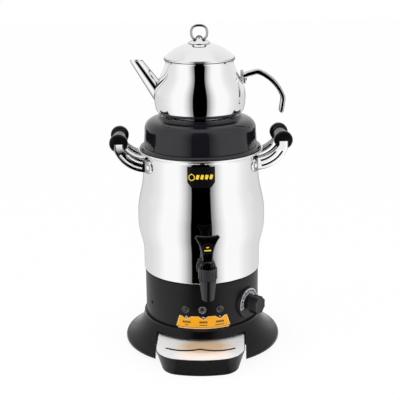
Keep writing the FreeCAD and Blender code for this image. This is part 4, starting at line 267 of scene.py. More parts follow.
def finish(name, colour, roughness, metallic=0.0, uneven=0.0, uneven_scale=40.0, grain=0.0,
           grain_scale=900.0, stretch=(1, 1, 1), mottle=0.0, coat=0.0, specular=0.5, edge=None):
    """Principled shader whose roughness wanders by uneven, whose colour wanders by mottle, and whose
    surface has a fine grain; all three read Object coordinates. An edge gives two facings between
    which the colour turns to the painted edge grey: painted shade on bright finishes, painted
    highlight on dark ones."""
    made = bpy.data.materials.new(name)
    made.use_nodes = True
    tree = made.node_tree
    shader = tree.nodes["Principled BSDF"]
    shader.inputs["Base Color"].default_value = (*colour, 1)
    shader.inputs["Roughness"].default_value = roughness
    shader.inputs["Metallic"].default_value = metallic
    shader.inputs["Specular IOR Level"].default_value = specular
    shader.inputs["Coat Weight"].default_value = coat
    shader.inputs["Coat Roughness"].default_value = 0.1
    place = added(tree, "TexCoord").outputs["Object"]
    spot = added(tree, "Mapping", {"Vector": place, "Scale": stretch}).outputs["Vector"]

    def noise(scale, detail):
        return added(tree, "TexNoise", {"Vector": spot, "Scale": scale, "Detail": detail}).outputs["Fac"]

    def lead(source, socket):
        tree.links.new(source, shader.inputs[socket])

    if uneven:
        low, high = max(roughness - uneven, 0.01), roughness + uneven
        lead(spread(tree, noise(uneven_scale, 3), low, high), "Roughness")
    if mottle:
        dark = (*[max(c - mottle, 0) for c in colour], 1)
        pale = (*[min(c + mottle, 1) for c in colour], 1)
        lead(mixed(tree, spread(tree, noise(uneven_scale * 0.6, 4), 0, 1), dark, pale), "Base Color")
    # Painted light: towards grazing angles the colour turns to the painted edge grey.
    if edge:
        facing = added(tree, "LayerWeight").outputs["Facing"]
        rim = spread(tree, facing, 0, 1, *edge, "SMOOTHSTEP")
        lead(mixed(tree, rim, (*colour, 1), PAINTED_EDGE_GREY), "Base Color")
    if grain:
        relief = {"Strength": grain, "Distance": 0.0002, "Height": noise(grain_scale, 2)}
        lead(added(tree, "Bump", relief).outputs["Normal"], "Normal")
    return made


def polish(name, shade, roughness, uneven=0.015, edge=None, mottle=0.0):
    """Mirror-bright steel. An edge pair paints it towards the edge grey at grazing angles: painted shade.
    """
    colour = (shade, shade, shade + 0.005)
    return finish(name, colour, roughness, 1.0, uneven, 30, edge=edge, mottle=mottle)


polished_steel = polish("polished_steel", 0.95, 0.03, 0.012, mottle=0.005)
# The edge pairs below paint these steels dark where they turn from the view: painted shade standing in for
# dark reflections. The ring finish is dark almost everywhere except where it faces the view, on the knob's
# ring, the spout's weld and the strap's beads.
small_steel = polish("polished_trim", 0.93, 0.04, edge=(0.60, 0.92))
ring_steel = polish("polished_ring", 0.93, 0.05, edge=(0.04, 0.3))
spout_steel = polish("polished_spout", 0.95, 0.03, 0.01, edge=(0.38, 0.72))
strap_steel = polish("polished_strap", 0.93, 0.05, edge=(0.66, 0.97))
saddle_steel = polish("polished_saddle", 0.93, 0.08, edge=(0.2, 0.6))
bright_steel = finish("plain_steel", (0.62, 0.62, 0.63), 0.3, 1.0, uneven=0.06, grain=0.1)
brushed_plate = finish("brushed_plate", (0.94, 0.94, 0.94), 0.30, 0.4, uneven=0.03, mottle=0.01,
                       grain=0.03, grain_scale=60, stretch=(0.35, 9, 1))
black_enamel = finish("black_enamel", (0.005, 0.005, 0.0055), 0.30, uneven=0.04, grain=0.10,
                      grain_scale=700, specular=0.25)
skirt_black = finish("skirt_black", (0.003, 0.003, 0.0035), 0.15, uneven=0.04, uneven_scale=30, grain=0.02,
                     specular=0.22)
black_plastic = finish("black_plastic", (0.011, 0.011, 0.013), 0.34, uneven=0.05, grain=0.16,
                       grain_scale=1100, specular=0.3)
cover_black = finish("cover_black", (0.0075, 0.007, 0.010), 0.03, uneven=0.012, uneven_scale=18)
black_bakelite = finish("black_bakelite", (0.008, 0.008, 0.009), 0.16, uneven=0.04, grain=0.04,
                        specular=0.3)
black_rubber = finish("rubber", (0.006, 0.006, 0.006), 0.7, uneven=0.08, grain=0.3, specular=0.1)
silicone = finish("silicone", (0.16, 0.05, 0.04), 0.6, uneven=0.05, grain=0.1)
brass = finish("brass", (0.78, 0.60, 0.30), 0.25, 1.0, uneven=0.05)
sheath = finish("sheath", (0.33, 0.32, 0.31), 0.45, 1.0, uneven=0.1, grain=0.2)
ceramic = finish("ceramic", (0.84, 0.83, 0.80), 0.35, uneven=0.05)
label_orange = finish("label_orange", (0.86, 0.38, 0.012), 0.38, uneven=0.04, mottle=0.015, grain=0.03,
                      specular=0.15)
smoked_lens = finish("smoked_lens", (0.02, 0.02, 0.022), 0.08, uneven=0.02)
badge_black = finish("badge_black", (0.004, 0.004, 0.005), 0.2, uneven=0.03, specular=0.3)

# Its edge pair paints dark outlines on the arms and the pot's rim bead: painted shade.
bright_chrome = finish("bright_chrome", (0.92, 0.92, 0.925), 0.08, 1.0, uneven=0.03, edge=(0.35, 0.75))
gloss_black = finish("gloss_black", (0.004, 0.004, 0.005), 0.13, uneven=0.03, uneven_scale=25, grain=0.02,
                     specular=0.2)
lamp_black = finish("lamp_black", (0.012, 0.012, 0.013), 0.12, uneven=0.03, specular=0.8, coat=0.6)
# Grey metal for the middle lamp's rim alone, the other rims being black: a painted highlight.
painted_highlight_rim = finish("painted_highlight_rim", (0.30, 0.30, 0.31), 0.14, 1.0, uneven=0.04)
knob_black = finish("knob_black", (0.009, 0.009, 0.011), 0.42, uneven=0.05, grain=0.22, grain_scale=1400,
                    specular=0.35)
# The edge pairs of these two paint their rounded edges paler: painted highlights.
tap_black = finish("tap_black", (0.026, 0.025, 0.029), 0.36, uneven=0.05, grain=0.12, grain_scale=1200,
                   specular=0.35, edge=(0.62, 0.95))
lever_black = finish("lever_black", (0.001, 0.001, 0.0015), 0.16, uneven=0.04, grain=0.04, specular=0.25,
                     edge=(0.3, 0.8))
tap_dark = finish("tap_dark", (0.001, 0.001, 0.0012), 0.5, uneven=0.05, grain=0.06, specular=0.05)
tray_black = finish("tray_black", (0.016, 0.016, 0.017), 0.30, uneven=0.05, grain=0.16, grain_scale=900,
                    specular=0.35)
print_grey = finish("print_grey", (0.82, 0.82, 0.84), 0.5, mottle=0.03)
print_black = finish("print_black", (0.05, 0.03, 0.01), 0.5, mottle=0.01)
print_white = finish("print_white", (0.75, 0.75, 0.74), 0.5, mottle=0.02)
print_cream = finish("print_cream", (0.80, 0.62, 0.30), 0.5, mottle=0.02)
print_yellow = finish("print_yellow", (0.86, 0.60, 0.03), 0.45, mottle=0.02)
# Pale fill painted as the reflection in the left front arm's grooves.
painted_reflection_pale = finish("painted_reflection_pale", (0.80, 0.80, 0.80), 0.35, uneven=0.05, specular=0.3)
# Black painted as shade: in the arms' grooves, the tap's front groove and the gap under the lid.
painted_shade_black = finish("painted_shade_black", (0.004, 0.004, 0.004), 0.4, uneven=0.06, grain=0.1, specular=0.2)


def painted_label_reflection(material, node, middle, reach, colour, most):
    """Paints a reflection into a finish: tints it around a place of the urn, most at the middle, less
    towards the reach on each axis.
    """
    tree = material.node_tree
    local = node.matrix_world.inverted() @ Vector([m * MM for m in middle])
    lay = {
        "Vector": added(tree, "TexCoord").outputs["Object"],
        "Scale": [1 / (r * MM) for r in reach],
        "Location": [-m / (r * MM) for m, r in zip(local, reach)],
    }
    spot = added(tree, "Mapping", lay).outputs["Vector"]
    ball = added(tree, "TexGradient", {"Vector": spot}, gradient_type="QUADRATIC_SPHERE").outputs["Fac"]
    colour_input = tree.nodes["Principled BSDF"].inputs["Base Color"]
    plain = colour_input.links[0].from_socket
    share = spread(tree, ball, 0, most, 0, 0.5, "SMOOTHSTEP")
    tree.links.new(mixed(tree, share, plain, (*colour, 1)), colour_input)


# Painted reflection of the orange label on the drip plate, in its colour.
LABEL_REFLECTION_PLACE, LABEL_REFLECTION_REACH, LABEL_REFLECTION_COLOUR = (3, -135, 37), (92, 58, 60), (0.70, 0.48, 0.27)
painted_label_reflection(brushed_plate, frame["nodes"]["drip_plate"], LABEL_REFLECTION_PLACE, LABEL_REFLECTION_REACH, LABEL_REFLECTION_COLOUR, 0.9)

SLOT_FINISH = {
    "plain_steel": bright_steel, "cast_black": black_bakelite, "rubber": black_rubber,
    "polished_steel": polished_steel, "brushed_plate": brushed_plate, "black_enamel": black_enamel,
    "black_plastic": black_plastic, "black_bakelite": black_bakelite, "silicone": silicone, "brass": brass,
    "sheath": sheath, "label_orange": label_orange, "smoked_lens": smoked_lens,
    "badge_black": badge_black, "ceramic": ceramic,
}
NODE_FINISH = {
    "boiler_cover": cover_black, "tank_seal": black_rubber, "base_skirt": skirt_black,
    "casing_screws": black_enamel, "tap_washers": black_rubber, "tap_stem": tap_dark,
    "tap_bonnet": tap_dark, "tap_pin": tap_dark, "thermostat_screws": black_plastic,
}
for sub_part in frame["record"]["subparts"]:
    node = frame["nodes"][sub_part["node"]]
    made = NODE_FINISH.get(sub_part["node"], SLOT_FINISH[sub_part["material_slot"]])
    if not node.material_slots:
        node.data.materials.append(made)
    for holder in node.material_slots:
        holder.material = made


# Boiler

def tank_side(inset):
    """Side of the tank from its foot over the belly to the flare, moved inwards by the inset."""
    foot, belly, neck = TANK_FOOT_RADIUS - inset, TANK_BELLY_RADIUS - inset, TANK_NECK_RADIUS - inset
    return joined(
        run((foot, 155.0), (foot, 187.0), 6), swell((foot, 188.0), (belly, 247.0), 48),
        run((belly, 248.5), (belly, 263.5), 4), swell((belly, 265.0), (neck, 343.0), 56),
        run((neck, 344.0), (neck, 376.0), 6), bend((119.7, 377.0), 9.6 + inset, 180, 120, 12),
    )


outer_side, inner_side = tank_side(0), tank_side(TANK_WALL)
tank_profile = joined(
    run((0, TANK_BOTTOM_Z), (109.5, TANK_BOTTOM_Z), 8), bend((109.7, 154.4), 2.0, -90, 0, 7), outer_side,
    bend((116.2, 386.6), 1.8, -135, 199.4, 26), inner_side[::-1], run((108, 153.6), (0, 153.6), 8),
)
piece("tank_shell", [spun(tank_profile, 224)], "boiler", polished_steel, ["boiler_tank"])

cover_seat = [(79.2, 447.3), (78.4, 450.6), (77.0, 452.0), (74.6, 452.0), (73.6, 449.5), (56, 449.5)]
cover_out = joined(
    eased([(108.3, 385.6), (113.3, 385.6), (113.9, 391.5), (113.9, 391.6)], 0.5, 4),
    bow((113.4, 391.9), (106.8, 394.8), 0.9, 8), run((106.6, 396), (105.0, 420), 8),
    bow((104.8, 422.0), (90.0, 444.6), 5.2, 30), run((89.0, 445.0), (80.0, 447.0), 6),
    eased(cover_seat, 0.6, 5),
)
cover_in = joined(
    eased([(56, 449.5), (55, 449.5), (55, 447.0), (56, 447.0)], 0.5, 5),
    run((60, 446.6), (88.0, 442.0), 8), bow((88.8, 442.1), (102.3, 422.0), -5.0, 24),
    run((102.5, 420), (104.3, 394.5), 6),
    eased([(105.2, 394.0), (105.8, 385.0), (105.8, 378.0), (108.3, 378.0), (108.3, 385.6)], 0.4, 4),
)
cover_shell = spun(joined(cover_out, cover_in), 192)
piece("cover_dome", [cover_shell], "cover", cover_black, ["boiler_cover"])


# Teapot

def pot_side(inset):
    """Side of the teapot from its heel over the belly to the neck, moved inwards by the inset."""
    heel, belly, neck = 12.0 - inset, POT_BELLY_RADIUS - inset, POT_NECK_RADIUS - inset
    end = (71.0 + heel * cos(radians(15)), 467.0 - heel * sin(radians(15)))
    reach = (belly - end[0]) / (1 - cos(radians(15)))
    full = end[1] + reach * sin(radians(15))
    return joined(
        bend((71.0, 467.0), heel, -90, -16, 14), bend((belly - reach, full), reach, -15, 0, 12),
        run((belly, full + 1), (belly, 487), 3),
        cubic((belly, 488.0), (belly, 513.0), (neck + 3.6, 529.0), (neck, 551.0), 60),
        run((neck + 0.1, 551.3), (64.75 - inset, 555.0), 4),
    )


pot_out, pot_in = pot_side(0), pot_side(1.0)
pot_profile = joined(
    run((0, POT_BOTTOM_Z), (66, POT_BOTTOM_Z), 4), bend((66.5, POT_BOTTOM_Z + 1.5), 1.5, -90, 0, 5),
    run((68.0, 452.5), (68.0, 454.5)), pot_out,
    bend((64.8, 556.4), 1.3, -75, 200, 18), pot_in[::-1], run((68, 456.0), (0, 456.0), 4),
)
piece("teapot_shell", [spun(pot_profile, 208)], "teapot", polished_steel, ["teapot_body"])


def hoop(radius, height, tube):
    """Thin round ring about the boiler's axis."""
    return spun(bend((radius, height), tube, 0, 360, 17)[:-1], 176, True)


piece("pot_rim_bead", [hoop(64.9, 556.4, 1.42)], "teapot", bright_chrome)
piece("pot_rim_shadow", [hoop(64.75, 554.75, 0.85)], "teapot", painted_shade_black)


# Lid

def dome(ball, low, high, count):
    """Rise of a ball about the lid's centre between two distances from the axis."""
    r = np.linspace(low, high, count)
    return np.stack([r, LID_CENTRE_Z + np.sqrt(ball ** 2 - r ** 2)], -1)


lid_profile = joined(
    dome(LID_SPHERE_RADIUS, 0, 65.2, 40), bend((64.9, 558.5), 0.7, 40, -90, 8),
    run((62.5, 558.0), (61.6, 558.0)), run((61.4, 557.5), (61.4, 548.2), 4),
    run((61.2, 548.0), (60.6, 548.0)), run((60.4, 548.2), (60.4, 560), 4), dome(91.0, 60.2, 0, 24),
)
piece("lid_dome", [spun(lid_profile, 176)], "teapot_lid", polished_steel, ["lid_shell"])
# Thin ring whose finish darkens at grazing angles: a painted dark line round the lid's edge.
piece("lid_edge", [hoop(64.6, 558.75, 0.95)], "teapot_lid", small_steel)


def rounded_section(half_a, half_b, radius, steps=5):
    """Closed outline of a rectangle with quarter-round corners, as rows of (a, b)."""
    corners = []
    for i, (sa, sb) in enumerate(((1, 1), (-1, 1), (-1, -1), (1, -1))):
        centre = (sa * (half_a - radius), sb * (half_b - radius))
        corners.append(bend(centre, radius, 90 * i, 90 * i + 90, steps))
    return joined(*corners)


def capped(rows):
    """Rows of closed outlines with a point at the middle of the first and the last row, so that both ends
    close."""
    first = np.repeat(rows[:1].mean(1, keepdims=True), rows.shape[1], 1)
    last = np.repeat(rows[-1:].mean(1, keepdims=True), rows.shape[1], 1)
    return grid(np.concatenate([first, rows, last]), False, True)


def soft_block(low, high, radius):
    """Block with all its edges rounded: rounded plans stacked up, drawn in by a quarter circle at both
    ends."""
    low, high = np.array(low, float), np.array(high, float)
    middle, half = (low + high) / 2, (high - low) / 2
    angle = np.radians(np.linspace(0, 90, 5))
    inset = np.concatenate([radius * (1 - np.sin(angle)), radius * (1 - np.sin(angle[::-1]))])
    rise = radius * (1 - np.cos(angle))
    level = np.concatenate([low[2] + rise, high[2] - rise[::-1]])
    layers = []
    for back, z in zip(inset, level):
        plan = rounded_section(half[0] - back, half[1] - back, max(radius - back, 0.05))
        layers.append(np.column_stack([plan + middle[:2], np.full(len(plan), z)]))
    return capped(np.array(layers))


# Teapot spout: a cone round its own axis, started on the pot's side and cut level at its tip

SPOUT_ROOT, SPOUT_TIP = np.array([-75.7, 492.9]), np.array([-119.1, 555.7])
SPOUT_ROOT_RADIUS, SPOUT_TIP_RADIUS, SPOUT_CUT_Z = 15.3, 10.0, 553.6


def spout_lines(inset, cut_z, count):
    """Points on the cone along each of its straight lines, from the pot's side to a level cut.
    A line starts where its distance from the boiler's axis equals the pot's radius at that height,
    found by halving, and ends where its height equals the cut."""
    around = np.radians(np.linspace(0, 360, 64, endpoint=False))
    along = SPOUT_TIP - SPOUT_ROOT
    across = np.array([along[1], -along[0]]) / np.hypot(*along)

    def at(t):
        radius = SPOUT_ROOT_RADIUS + (SPOUT_TIP_RADIUS - SPOUT_ROOT_RADIUS) * t - inset
        side = radius * np.cos(around)
        x = SPOUT_ROOT[0] + along[0] * t + across[0] * side
        z = SPOUT_ROOT[1] + along[1] * t + across[1] * side
        return np.stack([x, radius * np.sin(around), z], -1)

    order = np.argsort(pot_out[:, 1])
    low, high = np.full(64, -0.2), np.full(64, 0.9)
    for _ in range(30):
        middle = (low + high) / 2
        p = at(middle)
        inside = np.hypot(p[:, 0], p[:, 1]) < np.interp(p[:, 2], pot_out[order, 1], pot_out[order, 0])
        low, high = np.where(inside, middle, low), np.where(inside, high, middle)
    zero, one = at(np.zeros(64))[:, 2], at(np.ones(64))[:, 2]
    end = (cut_z - zero) / (one - zero)
    return np.stack([at(low + (end - low) * share) for share in np.linspace(0, 1, count)], 1)


spout_rows = np.concatenate([
    spout_lines(0, SPOUT_CUT_Z - 0.3, 24), spout_lines(0.25, SPOUT_CUT_Z, 2)[:, 1:],
    spout_lines(0.75, SPOUT_CUT_Z, 2)[:, 1:], spout_lines(1.0, SPOUT_CUT_Z - 0.3, 16)[:, ::-1],
], 1)
proud, level, sunk = (spout_lines(inset, 520, 60) for inset in (-0.45, -0.1, 0.4))
weld = np.stack([proud[:, 0], proud[:, 1], level[:, 2], sunk[:, 0]], 1)
piece("spout_weld", [grid(weld, True, True)], "teapot", ring_steel)
piece("spout_tube", [grid(spout_rows, True, True)], "teapot", spout_steel,
      ["teapot_spout"], sharp=50)


# Teapot handle: a rounded strap swept through three arcs, its end rounded off

STRAP_HALF_THICKNESS, STRAP_HALF_WIDTH = 4.25, 10.0
STRAP_TAIL, STRAP_TAIL_HEADING = 19.0, -98.0
STRAP_BENDS = ((17, 14, 449, 12), (14, -26, 16, 18), (-26, -67, 81, 30), (-67, STRAP_TAIL_HEADING, 20, 16))


def strap_path():
    """Places and headings along the strap's middle line: four arcs that turn downwards and a short tail."""
    x, z = 81.0, 523.4
    places, headings = [], []
    for start, end, radius, count in STRAP_BENDS:
        centre = (x + radius * sin(radians(start)), z - radius * cos(radians(start)))
        heading = np.linspace(start, end, count)
        lean = np.radians(heading)
        line = (centre[0] - radius * np.sin(lean), centre[1] + radius * np.cos(lean))
        places.append(np.stack(line, -1))
        headings.append(heading)
        x, z = places[-1][-1]
    round_turn = np.radians(np.linspace(15, 88, 7))
    tail = np.linspace(1, STRAP_TAIL, 6)
    end_round = STRAP_TAIL + STRAP_HALF_THICKNESS * np.sin(round_turn)
    lean = radians(STRAP_TAIL_HEADING)
    for reach in (tail, end_round):
        places.append(np.stack([x + reach * cos(lean), z + reach * sin(lean)], -1))
        headings.append(np.full(len(reach), STRAP_TAIL_HEADING))
    shrink = np.ones(sum(len(h) for h in headings))
    shrink[-7:] = np.cos(round_turn)
    return joined(*places), np.concatenate(headings), shrink


def strap_rim(side):
    """Thin round bead along one upper edge of the strap: its middle line keeps its distance from the
    strap's own."""
    places, headings, shrink = strap_path()
    lean = np.radians(headings)[:, None]
    v = np.radians(np.linspace(0, 360, 12, endpoint=False))[None, :]
    offset = (3.0 + 1.1 * np.cos(v)) * shrink[:, None]
    width = side * (8.7 + 0 * lean) * (0.72 + 0.28 * shrink[:, None]) + 1.1 * np.sin(v) * shrink[:, None]
    x, z = places[:, :1] - np.sin(lean) * offset, places[:, 1:] + np.cos(lean) * offset
    return capped(np.stack([x, width, z], -1)[3:])


def strap_surface():
    """Rounded rectangle carried along the strap's path: offset across the heading, width along Y."""
    places, headings, shrink = strap_path()
    section = rounded_section(STRAP_HALF_THICKNESS, STRAP_HALF_WIDTH, 2.6, 6)
    lean = np.radians(headings)
    across = np.stack([-np.sin(lean), np.cos(lean)], -1)
    offset = section[None, :, 0] * shrink[:, None]
    width = section[None, :, 1] * (0.72 + 0.28 * shrink[:, None])
    x = places[:, :1] + across[:, :1] * offset
    z = places[:, 1:] + across[:, 1:] * offset
    return capped(np.stack([x, width, z], -1))


piece("pot_handle", [strap_surface(), soft_block((81.6, -8, 509.5), (85.6, 8, 528.5), 1.2)], "teapot",
      strap_steel, ["teapot_handle"], sharp=50)
piece("pot_handle_beads", [strap_rim(-1), strap_rim(1)], "teapot", ring_steel)


# Lid knob: pedestal, dished saucer, domed boss and standing ring

pedestal = joined(
    run((0, 584.6), (13.6, 584.6), 3), run((14.0, 585.3), (14.0, 586.5)), run((13.7, 586.8), (0, 586.9), 3),
)
piece("knob_pedestal", [spun(pedestal, 96)], "teapot_lid", small_steel, ["lid_pedestal"])
saucer = joined(
    run((0, 586.9), (13.8, 586.9), 3), run((14.2, 586.75), (20.4, 584.65), 8),
    bend((20.6, 585.05), 0.4, -60, 60, 6), bow((20.7, 585.5), (9.0, 593.0), -0.25, 12),
    bend((8.4, 592.7), 0.7, 40, 90, 4), run((8.0, 593.4), (0, 593.4), 4),
)
piece("knob_saucer", [spun(saucer, 128)], "teapot_lid", small_steel, ["lid_saucer"])


def ring_surface(half_width, half_height, tube, centre_z):
    """Round tube bent to a standing loop with flattened sides, in the plane of the side handles. Its
    middle line is the curve with x to the power of 2.5 plus z to the power of 2.5 constant, both in
    shares of their halves."""
    u = np.radians(np.linspace(0, 360, 120, endpoint=False))
    x = half_width * np.sign(np.sin(u)) * np.abs(np.sin(u)) ** 0.8
    z = half_height * np.sign(np.cos(u)) * np.abs(np.cos(u)) ** 0.8
    way = np.stack([np.roll(x, -1) - np.roll(x, 1), np.roll(z, -1) - np.roll(z, 1)], -1)
    way /= np.hypot(*way.T)[:, None]
    v = np.radians(np.linspace(0, 360, 24, endpoint=False))[None, :]
    offset = tube * np.cos(v)
    across = x[:, None] - way[:, 1:] * offset
    rise = centre_z + z[:, None] + way[:, :1] * offset
    return grid(np.stack([across, tube * np.sin(v) + 0 * across, rise], -1), True, True)


boss = joined(
    run((0, 592.6), (6.9, 592.6), 3), bend((0, 591.6), 7.0, 12, 85, 14), run((0.5, 598.6), (0, 598.65)),
)
piece("knob_ring", [ring_surface(14.6, 13.2, 2.2, 603.3), spun(boss, 72)], "teapot_lid",
      ring_steel, ["lid_ring"])


# Side handles: four arms with grooves, their foot pads and rivets

ARM_LOW_Z, ARM_OUTER_Y, ARM_THICKNESS = 351.0, 41.3, 12.0
ARM_BEND, ARM_BEND_RADIUS = np.array([101.5, 416.0]), 65.0
ARM_INNER_BEND, ARM_INNER_RADIUS = np.array([99.78, 429.98]), 54.6
ARM_END_LOW_X, ARM_END_HIGH_X, ARM_END_Z = 161.6, 144.4, 405.3
PAD_RADIUS, PAD_START_Y, PAD_END_Y = 12.5, 29.6, 49.5
PAD_MIDDLE_Z = ARM_LOW_Z + PAD_RADIUS


def arm_edges():
    """Lower and upper edge of the arm in pairs of points: level from the pad, round the bend, up to the
    grip. In the bend both lie on one line from the bend's centre, the upper one on a second, smaller
    circle."""
    turn = np.radians(np.linspace(9.3, 66.5, 40))
    way = np.stack([np.sin(turn), -np.cos(turn)], -1)
    lower = ARM_BEND + way * ARM_BEND_RADIUS
    gap = ARM_BEND - ARM_INNER_BEND
    along = way @ gap
    reach = -along + np.sqrt(along ** 2 - gap @ gap + ARM_INNER_RADIUS ** 2)
    upper = ARM_BEND + way * reach[:, None]
    start_low = np.stack([np.linspace(100.0, 110.0, 4), np.full(4, ARM_LOW_Z)], -1)
    past = np.maximum(start_low[:, 0] - ARM_BEND[0], 0)
    start_low[:, 1] = ARM_BEND[1] - np.sqrt(ARM_BEND_RADIUS ** 2 - past ** 2)
    start_high = np.stack([np.linspace(98.0, 107.0, 4), np.full(4, ARM_LOW_Z + 25.0)], -1)
    rise = np.linspace(0.12, 1, 6)[:, None]
    end_low = lower[-1] + (np.array([ARM_END_LOW_X, ARM_END_Z]) - lower[-1]) * rise
    end_low[:, 0] = ARM_END_LOW_X
    end_high = upper[-1] + (np.array([ARM_END_HIGH_X, ARM_END_Z]) - upper[-1]) * rise
    end_high[:, 0] = ARM_END_HIGH_X
    return joined(start_low, lower, end_low), joined(start_high, upper, end_high)


def arm_surface():
    """Section of the arm carried from the pad to the grip: rounded edges, and on both faces two grooves
    that keep their distance from the lower edge. The grooves run out before the grip."""
    lower, upper = arm_edges()
    width = np.hypot(*(upper - lower).T)
    count = len(lower)
    edge = 1.4
    offsets = np.array([0.0, 0.2, 0.6, 1.4, 5.4, 6.0, 6.5, 8.9, 9.4, 10.0, 15.4, 16.0, 16.5, 18.9, 19.4])
    depths = np.array([edge, 0.7, 0.2, 0, 0, 0.1, 1.2, 1.2, 0.1, 0, 0, 0.1, 1.2, 1.2, 0.1])
    place = (np.arange(count) - 4) / 40
    fade = np.clip(place[:, None] / 0.04, 0, 1) * np.clip((0.86 - place[:, None]) / 0.05, 0, 1)
    fade_two = fade * np.clip((0.72 - place[:, None]) / 0.05, 0, 1)
    depth = np.repeat(depths[None, :], count, 0)
    depth[:, 4:10] *= fade
    depth[:, 10:] *= fade_two
    room = (width - 2.2)[:, None]
    across = np.minimum(offsets[None, :], room + 0.02 * np.arange(15)[None, :] - 0.3)
    tail = np.stack([width - 1.4, width - 0.6, width - 0.2, width], -1)
    across = np.concatenate([across, tail], 1)
    depth = np.concatenate([depth, np.repeat(np.array([[0, 0.2, 0.7, edge]]), count, 0)], 1)
    share = (across / width[:, None])[..., None]
    flat = lower[:, None, :] + (upper - lower)[:, None, :] * share
    front = np.stack([flat[..., 0], -ARM_OUTER_Y + depth, flat[..., 1]], -1)
    back = np.stack([flat[..., 0], -ARM_OUTER_Y + ARM_THICKNESS - depth, flat[..., 1]], -1)
    return capped(np.concatenate([front, back[:, ::-1]], 1))


def arm_grooves():
    """Strip just above the floor of each groove, on both faces: it carries the grooves' painted shade, and
    on the left front arm a painted reflection.
    """
    lower, upper = arm_edges()
    strips = []
    for low, high, last in ((6.3, 9.1, 0.83), (16.3, 19.1, 0.69)):
        keep = (np.arange(len(lower)) >= 5) & ((np.arange(len(lower)) - 4) / 40 <= last)
        a, b = lower[keep], upper[keep]
        width = np.hypot(*(b - a).T)[:, None]
        near, far = a + (b - a) * (low / width), a + (b - a) * (high / width)
        for face, way in ((-ARM_OUTER_Y, 1), (-ARM_OUTER_Y + ARM_THICKNESS, -1)):
            rows = []
            for line, depth in ((near, 0.55), (far, 0.55), (far, 1.6), (near, 1.6)):
                level = np.full(len(line), face + way * depth)
                rows.append(np.stack([line[:, 0], level, line[:, 1]], -1))
            strips.append(capped(np.stack(rows, 1)))
    return strips


def pad_surface():
    """Foot of an arm: a plate on the neck's curve from the arm outwards, its free end a half circle."""
    end = PAD_RADIUS * np.sin(np.radians(np.linspace(6, 90, 16)))
    y = joined(np.linspace(PAD_START_Y, PAD_END_Y, 12), PAD_END_Y + end)
    drawn_in = np.sqrt(np.maximum(PAD_RADIUS ** 2 - (y - PAD_END_Y) ** 2, 0.0004))
    half = np.where(y < PAD_END_Y, PAD_RADIUS, drawn_in)
    z = PAD_MIDDLE_Z + half[:, None] * np.linspace(-1, 1, 13)[None, :]
    sheets = []
    for distance, ease in ((110.35, 0), (112.7, 0), (113.3, 0.6)):
        side = y[:, None] - ease * (y[:, None] > PAD_END_Y)
        reach = np.sqrt(distance ** 2 - side ** 2)
        shrink = 1 - ease / PAD_RADIUS
        level = PAD_MIDDLE_Z + (z - PAD_MIDDLE_Z) * shrink
        sheets.append(np.stack([reach + 0 * z, -side + 0 * z, level], -1))
    rims = [joined(s[:, 0], s[-1, 1:], s[-2::-1, -1], s[0, -2:0:-1]) for s in sheets]
    return [grid(sheets[0]), grid(sheets[2]), grid(np.stack(rims, 0), False, True)]


def rivet_surface():
    """Low domed rivet head that lies on the pad."""
    head = joined(run((0, 113.0), (5.0, 113.0), 3), bow((5.0, 113.35), (0, 115.45), 0.5, 8))
    angle = degrees(np.arcsin(51.0 / 110.1))
    return outward(spun(head, 40), 90 - angle, PAD_MIDDLE_Z)


def four_ways(surfaces):
    """The front right surfaces and their mirror images, turned with the boiler's handles."""
    names = {"right_front": (1, 1), "right_rear": (1, -1), "left_front": (-1, 1), "left_rear": (-1, -1)}
    made = {}
    for name, (sx, sy) in names.items():
        made[name] = [turned((p * (sx, sy, 1), f), HANDLE_TURN) for p, f in surfaces]
    return made


arm_side = [arm_surface()] + pad_surface()
for name, surfaces in four_ways(arm_side).items():
    piece("handle_arm_" + name, surfaces, "boiler", bright_chrome, ["arm_" + name])
for name, surfaces in four_ways(arm_grooves()).items():
    # Pale painted reflection in the left front arm's grooves, painted shade in the other three.
    look = painted_reflection_pale if name == "left_front" else painted_shade_black
    piece("arm_groove_" + name, surfaces, "boiler", look)
heads = [s for surfaces in four_ways([rivet_surface()]).values() for s in surfaces]
piece("rivet_heads", heads, "boiler", polished_steel)


# Drum of the base, with its flanged top

drum = joined(
    run((110.0, 50.0), (110.0, 149.4), 12), bend((108.6, 149.4), 1.4, 10, 90, 6),
    run((108.0, 150.8), (98.0, 150.8), 3), run((98.0, 149.6), (107.8, 149.6), 3),
    run((108.8, 148.6), (108.8, 50.0), 12),
)
piece("base_drum", [spun(drum, 192, True)], "boiler", black_enamel, ["base_casing"])


# Dial, knob and numerals, drawn with their axis along Z and then laid outwards

DIAL_Z, DIAL_RADIUS, DIAL_FACE, KNOB_RADIUS = 98.8, 30.5, 113.5, 17.7
FLUTE_PLACE, FLUTE_RADIUS, FLUTE_STEP = 50.1, 34.0, 45.0
FIRST_MARK, NUMERAL_STEP = 106.0, 21.75


def dial_surface():
    """Round plate with an eased edge whose back follows the drum: depth = root of (drum radius squared -
    x squared)."""
    angle = np.radians(np.linspace(0, 360, 96, endpoint=False))[:, None]
    face = DIAL_FACE
    front = joined(
        run((0.001, face - 0.3), (12.5, face - 0.3), 3), run((12.9, face), (DIAL_RADIUS - 1.3, face), 6),
        bend((DIAL_RADIUS - 1.2, face - 1.2), 1.2, 80, 0, 6),
    )
    r, depth = front[None, :, 0], front[None, :, 1]
    face = np.stack([r * np.cos(angle), r * np.sin(angle), depth + 0 * angle], -1)
    share = np.linspace(1, 0.001, 8)[None, :] * DIAL_RADIUS
    x = share * np.cos(angle)
    back = np.stack([x, share * np.sin(angle), np.sqrt(110.05 ** 2 - x ** 2)], -1)
    return grid(np.concatenate([face, back], 1), True, False)


